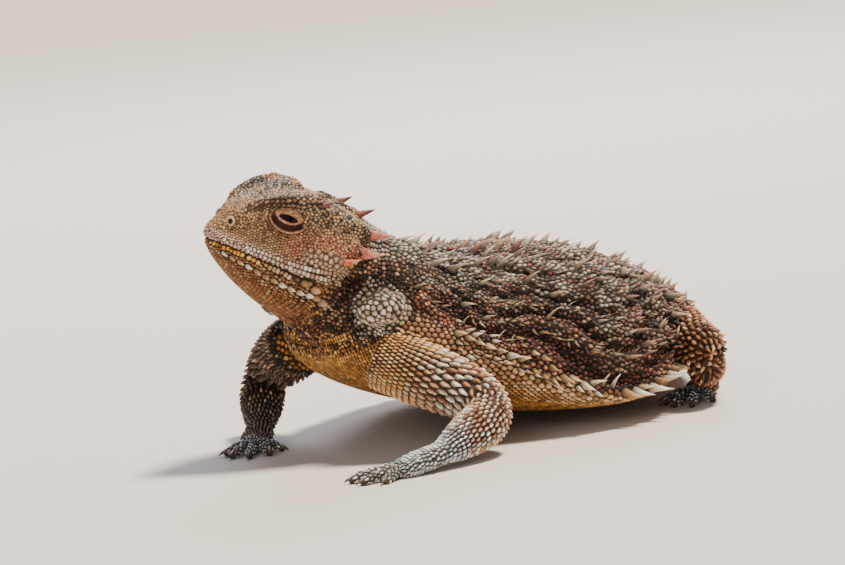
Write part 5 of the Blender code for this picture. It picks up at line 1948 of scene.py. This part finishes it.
# Soft skin between the scales: dark and matt, with fine creases
SKIN_FINISH = Finish("soft_hide", 0.75, 0.14, 0.5, 0.8, 0.3, specular=0.25)
# Lids: thin folded skin, slightly smoother than the hide
LID_FINISH = Finish("eyelid_skin", 0.62, 0.16, 0.6, 0.35, 0.3, specular=0.2)
# Horn: polished by wear, faint growth rings
HORN_FINISH = Finish("horn_keratin", 0.42, 0.2, 0.3, 0.6, 0.2)
# Claw: smooth dark keratin with a sharp highlight
CLAW_FINISH = Finish("claw_keratin", 0.35, 0.3, 0.15, 0.8, 0.15)
# Wet eye: a clear coat over a dark iris
EYE_FINISH = Finish("wet_eye", 0.4, 0.4, 0.02, 1.0, 0.08, coat=0.04, specular=0.03)


@dataclass
class Eyes:
    """Eyeballs with iris and pupil, the folded lids round them, and the nostrils."""

    skin: Skin
    form: BodyForm
    # Half width and half height of the opening between the lids
    opening: Row = (1.25, 0.42)
    outer: Row = (3.4, 2.85)
    twist: float = -5.0
    ball_radius: float = 2.32
    pupil: float = 0.62
    iris: float = 1.5
    # Half height of the ring, lift over the dome of the eye, and shade from dark to pale, which paints shade
    # in the creases between the folds and light on their ridges
    upper: tuple = (
        (0.37, -0.35, 0.03), (0.4, -0.05, 0.2), (0.47, 0.16, 0.55), (0.8, 0.34, 0.9), (1.22, 0.3, 0.8),
        (1.42, 0.0, 0.1), (1.56, 0.14, 0.6), (1.74, 0.1, 0.45), (1.84, -0.1, 0.08), (2.02, 0.2, 0.75),
        (2.16, 0.1, 0.5), (2.28, -0.12, 0.08), (2.46, 0.0, 0.35), (2.7, -0.4, 0.2),
    )
    lower: tuple = (
        (0.38, -0.35, 0.05), (0.42, -0.05, 0.5), (0.47, 0.08, 1.0), (0.62, 0.14, 1.0), (0.75, 0.0, 0.5),
        (0.82, -0.17, 0.06), (1.2, -0.2, 0.03), (1.48, -0.2, 0.05), (1.6, 0.0, 0.4), (1.78, 0.2, 0.9),
        (1.92, 0.08, 0.45), (2.02, -0.1, 0.1), (2.2, 0.06, 0.65), (2.34, -0.1, 0.15), (2.54, 0.04, 0.6),
        (2.85, -0.4, 0.25),
    )
    dome: tuple = (
        (0, 2.56), (0.5, 2.5), (1.0, 2.34), (1.5, 2.06), (2.0, 1.72), (2.5, 1.36), (3.0, 1.02), (3.75, 0.5),
    )
    # Radius, height and shade from dark to pale; the dark middle is painted shade in the nostril
    nostril_profile: tuple = (
        (0.0, 0.02, 0.02), (0.2, 0.02, 0.02), (0.29, 0.05, 0.05), (0.35, 0.17, 0.6), (0.45, 0.25, 1.0),
        (0.56, 0.2, 0.9), (0.66, 0.06, 0.5), (0.74, -0.15, 0.2),
    )

    def axes(self, side: int) -> tuple[Array, Array]:
        """Places one eye.

        Args:
            side: 1 for the left, -1 for the right.

        Returns:
            Its centre, and its directions out, to the rear and up as rows.
        """
        centre = self.form.pose.from_head(np.array(self.form.eye_spot) * (side, 1, 1))
        angle = math.radians(self.twist)
        out, rear, up = self.form.eye_axes() * (side, 1, 1)
        cos, sin = math.cos(angle), math.sin(angle)
        rear, up = rear * cos + up * sin, up * cos - rear * sin
        return centre, np.array([out, rear, up]) @ self.form.pose.head_turn().T

    def ball(self, side: int, place: Array) -> bpy.types.Object:
        """Makes the eyeball: a sphere whose tint runs from pupil to iris to a dark rim.

        Polar angle from the eye's axis and turn round it are the two parameters.

        Args:
            side: 1 for the left, -1 for the right.
            place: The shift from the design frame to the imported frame.

        Returns:
            The eyeball, without material.
        """
        centre, (out, rear, up) = self.axes(side)
        tilt, turn = np.linspace(0.01, math.pi - 0.01, 64)[:, None, None], turns(64)[None, :, None]
        grid = out * np.cos(tilt) + rear * (np.sin(tilt) * np.cos(turn)) + up * (np.sin(tilt) * np.sin(turn))
        points, faces = Loft(Part.HEAD, centre + grid * self.ball_radius).mesh()
        away = np.linalg.norm(np.cross(points - centre, out), axis=1)[:, None]
        front = ((points - centre) @ out > 0)[:, None]
        rim = linear("#120b08")
        tint = blend(linear("#040303"), linear("#3c2016"), ramp(self.pupil - 0.05, self.pupil + 0.1, away))
        tint = blend(tint, rim, ramp(self.iris - 0.4, self.iris, away))
        return mesh_object("eyeball_" + name_of(side), place, points, faces, np.where(front, tint, rim))

    def sheet(self, side: int) -> tuple[Array, Array]:
        """Both lids and the ring folds round them, as a grid of points and their colours.

        The turn round the eye's axis and the number of the ring are the two parameters. A ring is
        an oval whose half height comes from the fold tables and whose half width grows with it.
        Its lift is that of the eye's dome at its distance from the axis, plus the table's own,
        mixed from lower to upper lid by the sine of the turn. The outer rings are drawn down under
        the skin nearest to them.

        Args:
            side: 1 for the left eye, -1 for the right.

        Returns:
            Points and linear colours, as rings, turns and three numbers.
        """
        centre, (out, rear, up) = self.axes(side)
        turn, way = turns(160)[None], np.linspace(0, 1, 110)[:, None]
        mix = ramp(-0.5, 0.5, np.sin(turn)) + 0 * way
        tall, lift, shade = np.zeros((3, *mix.shape))
        for table, weight in ((self.lower, 1 - mix), (self.upper, mix)):
            row = smooth_table(table, 6)
            spot = np.linspace(0, 1, len(row))
            tall, lift, shade = (
                total + weight * np.interp(way, spot, column)
                for total, column in zip((tall, lift, shade), row.T)
            )
        wide = np.interp(tall, (self.opening[1], 1.85, self.outer[1]), (self.opening[0], 2.5, self.outer[0]))
        one, two = wide * np.cos(turn), tall * np.sin(turn)
        height = np.interp(np.hypot(one, two), *np.array(self.dome).T) + lift
        spots = np.stack([one, two, 0 * one + side * 5], 2).reshape(-1, 3)
        crease = value_noise(spots * (1.0, 2.2, 1.0), 0.45, 41) - 0.5
        beads = value_noise(spots, 0.17, 43) - 0.5
        height = height + (0.22 * crease + 0.2 * beads).reshape(height.shape) * ramp(0.02, 0.12, way)
        points = centre + out * height[..., None] + rear * one[..., None] + up * two[..., None]
        points = points.reshape(-1, 3)
        under, normal, _ = self.skin.nearest(points)
        points = points + (under - 0.2 * normal - points) * ramp(0.8, 1.0, way + 0 * turn).reshape(-1, 1)
        # Painted shade in the creases of the folds and painted light on their ridges and on the raised beads
        level = np.clip(shade.reshape(-1, 1), 0, 1)
        outward = ramp(1.9, 2.6, tall.reshape(-1, 1))
        tint = blend(linear("#24090a"), blend(linear("#c0906c"), linear("#94664a"), outward), level)
        tint = tint * (0.5 + 0.7 * value_noise(spots, 0.22, 42) + 0.9 * beads)[:, None]
        return points.reshape(*mix.shape, 3), np.clip(tint, 0.001, 1).reshape(*mix.shape, 3)

    def exposed(self) -> KDTree:
        """Finds where lids and horns stand clear of the skin.

        Returns:
            A search tree of such points.
        """
        grids = [self.sheet(side)[0][::3, ::2] for side in SIDES]
        grids += [self.form.horn(name, side).rings[6:] for name in self.form.horns for side in SIDES]
        points = np.concatenate([grid.reshape(-1, 3) for grid in grids])
        spot, normal, _ = self.skin.nearest(points)
        return search_tree(points[((points - spot) * normal).sum(1) > 0.03])

    def lids(self, side: int, place: Array) -> bpy.types.Object:
        """Makes the sheet of lids round one eye as a piece.

        Args:
            side: 1 for the left, -1 for the right.
            place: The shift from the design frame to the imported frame.

        Returns:
            The lids, without material.
        """
        points, tint = self.sheet(side)
        quads = grid_quads(*points.shape[:2])
        points, tint = points.reshape(-1, 3), tint.reshape(-1, 3)
        quads = facing(points, quads, self.axes(side)[1][0])
        return mesh_object("eyelids_" + name_of(side), place, points, quads, tint)

    def nostrils(self, place: Array) -> bpy.types.Object:
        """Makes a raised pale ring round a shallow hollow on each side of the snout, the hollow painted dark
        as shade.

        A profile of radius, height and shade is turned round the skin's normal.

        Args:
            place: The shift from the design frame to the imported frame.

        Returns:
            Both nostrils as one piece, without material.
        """
        rows, turn, parts = smooth_table(self.nostril_profile, 3), turns(32)[:, None], []
        for side in SIDES:
            wanted = self.form.pose.from_head(np.array(self.form.nostril) * (side, 1, 1))
            spot, normal, _ = (found[0] for found in self.skin.nearest(wanted[None]))
            one = unit(np.cross(normal, (0.0, 0.0, 1.0)))
            spokes = np.cos(turn) * one * 1.1 + np.sin(turn) * np.cross(normal, one)
            rings = spot + rows[:, 0, None, None] * spokes + rows[:, 1, None, None] * normal
            points, quads = rings.reshape(-1, 3), grid_quads(*rings.shape[:2])[:, [0, 3, 2, 1]]
            tint = blend(linear("#0d0706"), linear("#c2a083"), np.repeat(rows[:, 2], len(turn))[:, None])
            parts.append((points, facing(points, quads, normal), tint))
        return mesh_object("nostrils", place, *merged(parts))


def name_of(side: int) -> str:
    """The word for a side of the body."""
    return "left" if side > 0 else "right"


@dataclass
class Horns:
    """The pieces of horn on the brows, the back of the head and the temples."""

    form: BodyForm

    def build(self, place: Array) -> dict[str, bpy.types.Object]:
        """Makes every horn, its colour running from root to tip.

        Args:
            place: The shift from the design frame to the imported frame.

        Returns:
            The pieces, by the names of the nodes they replace.
        """
        made = {}
        for name, (*_, base, end) in self.form.horns.items():
            for side in SIDES:
                loft, word = self.form.horn(name, side), name_of(side)
                points, faces = loft.mesh()
                start = loft.rings[0].mean(0)
                axis = loft.tip - start
                share = np.clip((points - start) @ axis / (axis @ axis), 0, 1)
                tint = blend(linear(base), linear(end), ramp(0.5, 1.0, share)[:, None])
                tint = tint * (0.35 + 1.3 * value_noise(points, 0.24, 61))[:, None]
                piece = f"{name.replace('horn_', '')}_horn_{word}"
                made[f"{name}_{word}"] = mesh_object(piece, place, points, faces, tint)
        return made


@dataclass
class Claws:
    """A curved claw at the end of each digit."""

    skin: Skin
    length: float = 1.55
    radius: float = 0.34

    def build(self, place: Array) -> bpy.types.Object:
        """Makes all twenty claws in one piece.

        Each runs from inside the digit's tip outwards and down along a quarter curve, its round
        section shrinking to a point.

        Args:
            place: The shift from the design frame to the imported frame.

        Returns:
            The claws, without material.
        """
        parts, way = [], np.linspace(0, 1, 12)
        for loft in self.skin.digits:
            centres = loft.rings.mean(1)
            root, out = centres[-6], unit(unit(centres[-5] - centres[-9]) * (1, 1, 0))
            line = root + out * self.length * way[:, None]
            line = line + np.array((0, 0, 0.22)) * np.sin(way * 2.4)[:, None]
            line[:, 2] = np.maximum(line[:, 2] - way**2 * (root[2] - 0.06), 0.06)
            radii = np.minimum(self.radius * (1 - way) ** 0.75 + 0.01, line[:, 2] - 0.005)
            rings = BodyForm.tube(line, radii, 1.0, 10)
            points, faces = Loft(Part.DIGIT, rings, tip=line[-1] + out * 0.05).mesh()
            share = np.clip((points - root) @ out / self.length, 0, 1)[:, None]
            parts.append((points, faces, blend(linear("#8f7458"), linear("#1d1511"), share)))
        return mesh_object("claws", place, *merged(parts))


@dataclass(frozen=True)
class Studio:
    """Floor, lights and the camera at the photograph's angle."""

    azimuth: float = 55.0
    elevation: float = 8.0
    roll: float = 6.0
    distance: float = 690.0
    pixels_a_mm: float = 7.826
    target: Row = (11.5, 0.0, 12.995)
    target_pixel: Row = (392.0, 358.0)
    picture: Row = (845.0, 565.0)
    sensor: float = 36.0

    @staticmethod
    def put(name: str, data: bpy.types.ID, axes: list[Array], at: Array) -> bpy.types.Object:
        """Adds an object that is turned and placed.

        Args:
            name: Its name.
            data: Its data.
            axes: Its own directions right, up and back.
            at: Its place in metres.

        Returns:
            The object.
        """
        obj, matrix = linked(name, data), np.eye(4)
        matrix[:3, :3], matrix[:3, 3] = np.transpose(axes), at
        obj.matrix_world = Matrix(matrix.tolist())
        return obj

    def camera(self, place: Array) -> None:
        """Sets the camera so that the target falls on its pixel with no lens shift.

        Args:
            place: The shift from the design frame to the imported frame.
        """
        a, e, r = (math.radians(v) for v in (self.azimuth, self.elevation, self.roll))
        back = np.array((math.sin(a) * math.cos(e), -math.cos(a) * math.cos(e), math.sin(e)))
        level = heading(a)
        upright = np.cross(back, level)
        right = math.cos(r) * level - math.sin(r) * upright
        up = math.sin(r) * level + math.cos(r) * upright
        across = (self.target_pixel[0] - self.picture[0] / 2) / self.pixels_a_mm
        down = (self.target_pixel[1] - self.picture[1] / 2) / self.pixels_a_mm
        spot = np.array(self.target) + back * self.distance - right * across + up * down + place
        data = bpy.data.cameras.new("camera")
        data.sensor_width = self.sensor
        data.lens = self.sensor * self.distance * self.pixels_a_mm / self.picture[0]
        data.clip_start, data.clip_end = 0.05, 20.0
        bpy.context.scene.camera = self.put("camera", data, [right, up, back], spot * MM)

    def light(self, name: str, at: Row, towards: Row, size: float, power: float, colour: str) -> None:
        """Adds one soft light.

        Args:
            name: Its name; the key light is a distant disc, the others are squares.
            at: Its place in metres.
            towards: The place it faces.
            size: A square's side in metres, or a disc's angle in degrees.
            power: Its strength.
            colour: Its colour.
        """
        data = bpy.data.lights.new(name, "SUN" if name == "key" else "AREA")
        if name == "key":
            data.angle = math.radians(size)
        else:
            data.shape, data.size = "SQUARE", size
        data.energy, data.color = power, linear(colour)
        back = unit(np.array(at) - np.array(towards))
        side = unit(np.cross((0, 0, 1), back))
        self.put(name, data, [side, np.cross(back, side), back], np.array(at))

    def build(self, place: Array) -> None:
        """Lays the floor and sets lights, sky and camera.

        Args:
            place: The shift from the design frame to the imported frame.
        """
        mesh = bpy.data.meshes.new("studio_floor")
        mesh.from_pydata([(-4, -4, 0), (4, -4, 0), (4, 4, 0), (-4, 4, 0)], [], [(0, 1, 2, 3)])
        floor = linked("studio_floor", mesh)
        material = bpy.data.materials.new("matt_paper_floor")
        material.use_nodes = True
        shader = material.node_tree.nodes["Principled BSDF"]
        shader.inputs["Base Color"].default_value = (*linear("#cfc9c2"), 1)
        shader.inputs["Roughness"].default_value = 0.9
        mesh.materials.append(material)
        world = bpy.data.worlds.new("soft_sky")
        world.use_nodes = True
        sky = world.node_tree.nodes["Background"].inputs
        sky["Color"].default_value = (*linear("#dfe3e8"), 1)
        sky["Strength"].default_value = 0.34
        bpy.context.scene.world = world
        self.light("key", (0.12, 0.14, 0.50), (0.0, 0.0, 0.01), 11.0, 7.6, "#fff0dc")
        self.light("fill", (0.35, -0.40, 0.16), (0.0, 0.0, 0.01), 0.35, 1.3, "#f2ece6")
        self.light("rim", (-0.30, 0.25, 0.30), (0.0, 0.0, 0.02), 0.25, 2.0, "#eef2ff")
        self.camera(place)


def main() -> None:
    """Builds the lizard piece by piece and reports each one."""
    logging.basicConfig(level=logging.INFO, format="%(name)s %(message)s", stream=sys.stdout)
    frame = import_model()
    form = BodyForm()
    low, high = (np.array(corner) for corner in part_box("eye_left"))
    place = (low + high) / 2 / MM - form.pose.from_head(form.eye_centre)
    flesh = [n for n in frame["nodes"] if not n.startswith(("eye", "horn"))]

    skin = Skin(form)
    hide = skin.build(place)
    hide.data.materials.append(SKIN_FINISH.material())
    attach(hide, "root")
    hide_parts(*flesh)
    LOG.info("skin: %d quads", len(hide.data.polygons))

    eyes = Eyes(skin, form)
    coat = Coat(skin, eyes.exposed())
    scale = SCALE_FINISH.material()
    for piece in coat.build(place):
        piece.data.materials.append(scale)
        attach(piece, "root")

    wet, lid = EYE_FINISH.material(), LID_FINISH.material()
    for side in SIDES:
        ball = eyes.ball(side, place)
        ball.data.materials.append(wet)
        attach(ball, "root")
        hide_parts("eye_" + name_of(side))
        folds = eyes.lids(side, place)
        folds.data.materials.append(lid)
        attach(folds, "root")
        LOG.info("eye and lids, %s", name_of(side))
    nostrils = eyes.nostrils(place)
    nostrils.data.materials.append(lid)
    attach(nostrils, "root")

    keratin = HORN_FINISH.material()
    for node, piece in Horns(form).build(place).items():
        piece.data.materials.append(keratin)
        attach(piece, "root")
        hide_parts(node)
    claws = Claws(skin).build(place)
    claws.data.materials.append(CLAW_FINISH.material())
    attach(claws, "root")
    LOG.info("horns and claws")

    Studio().build(place)


if __name__ == "__main__":
    main()
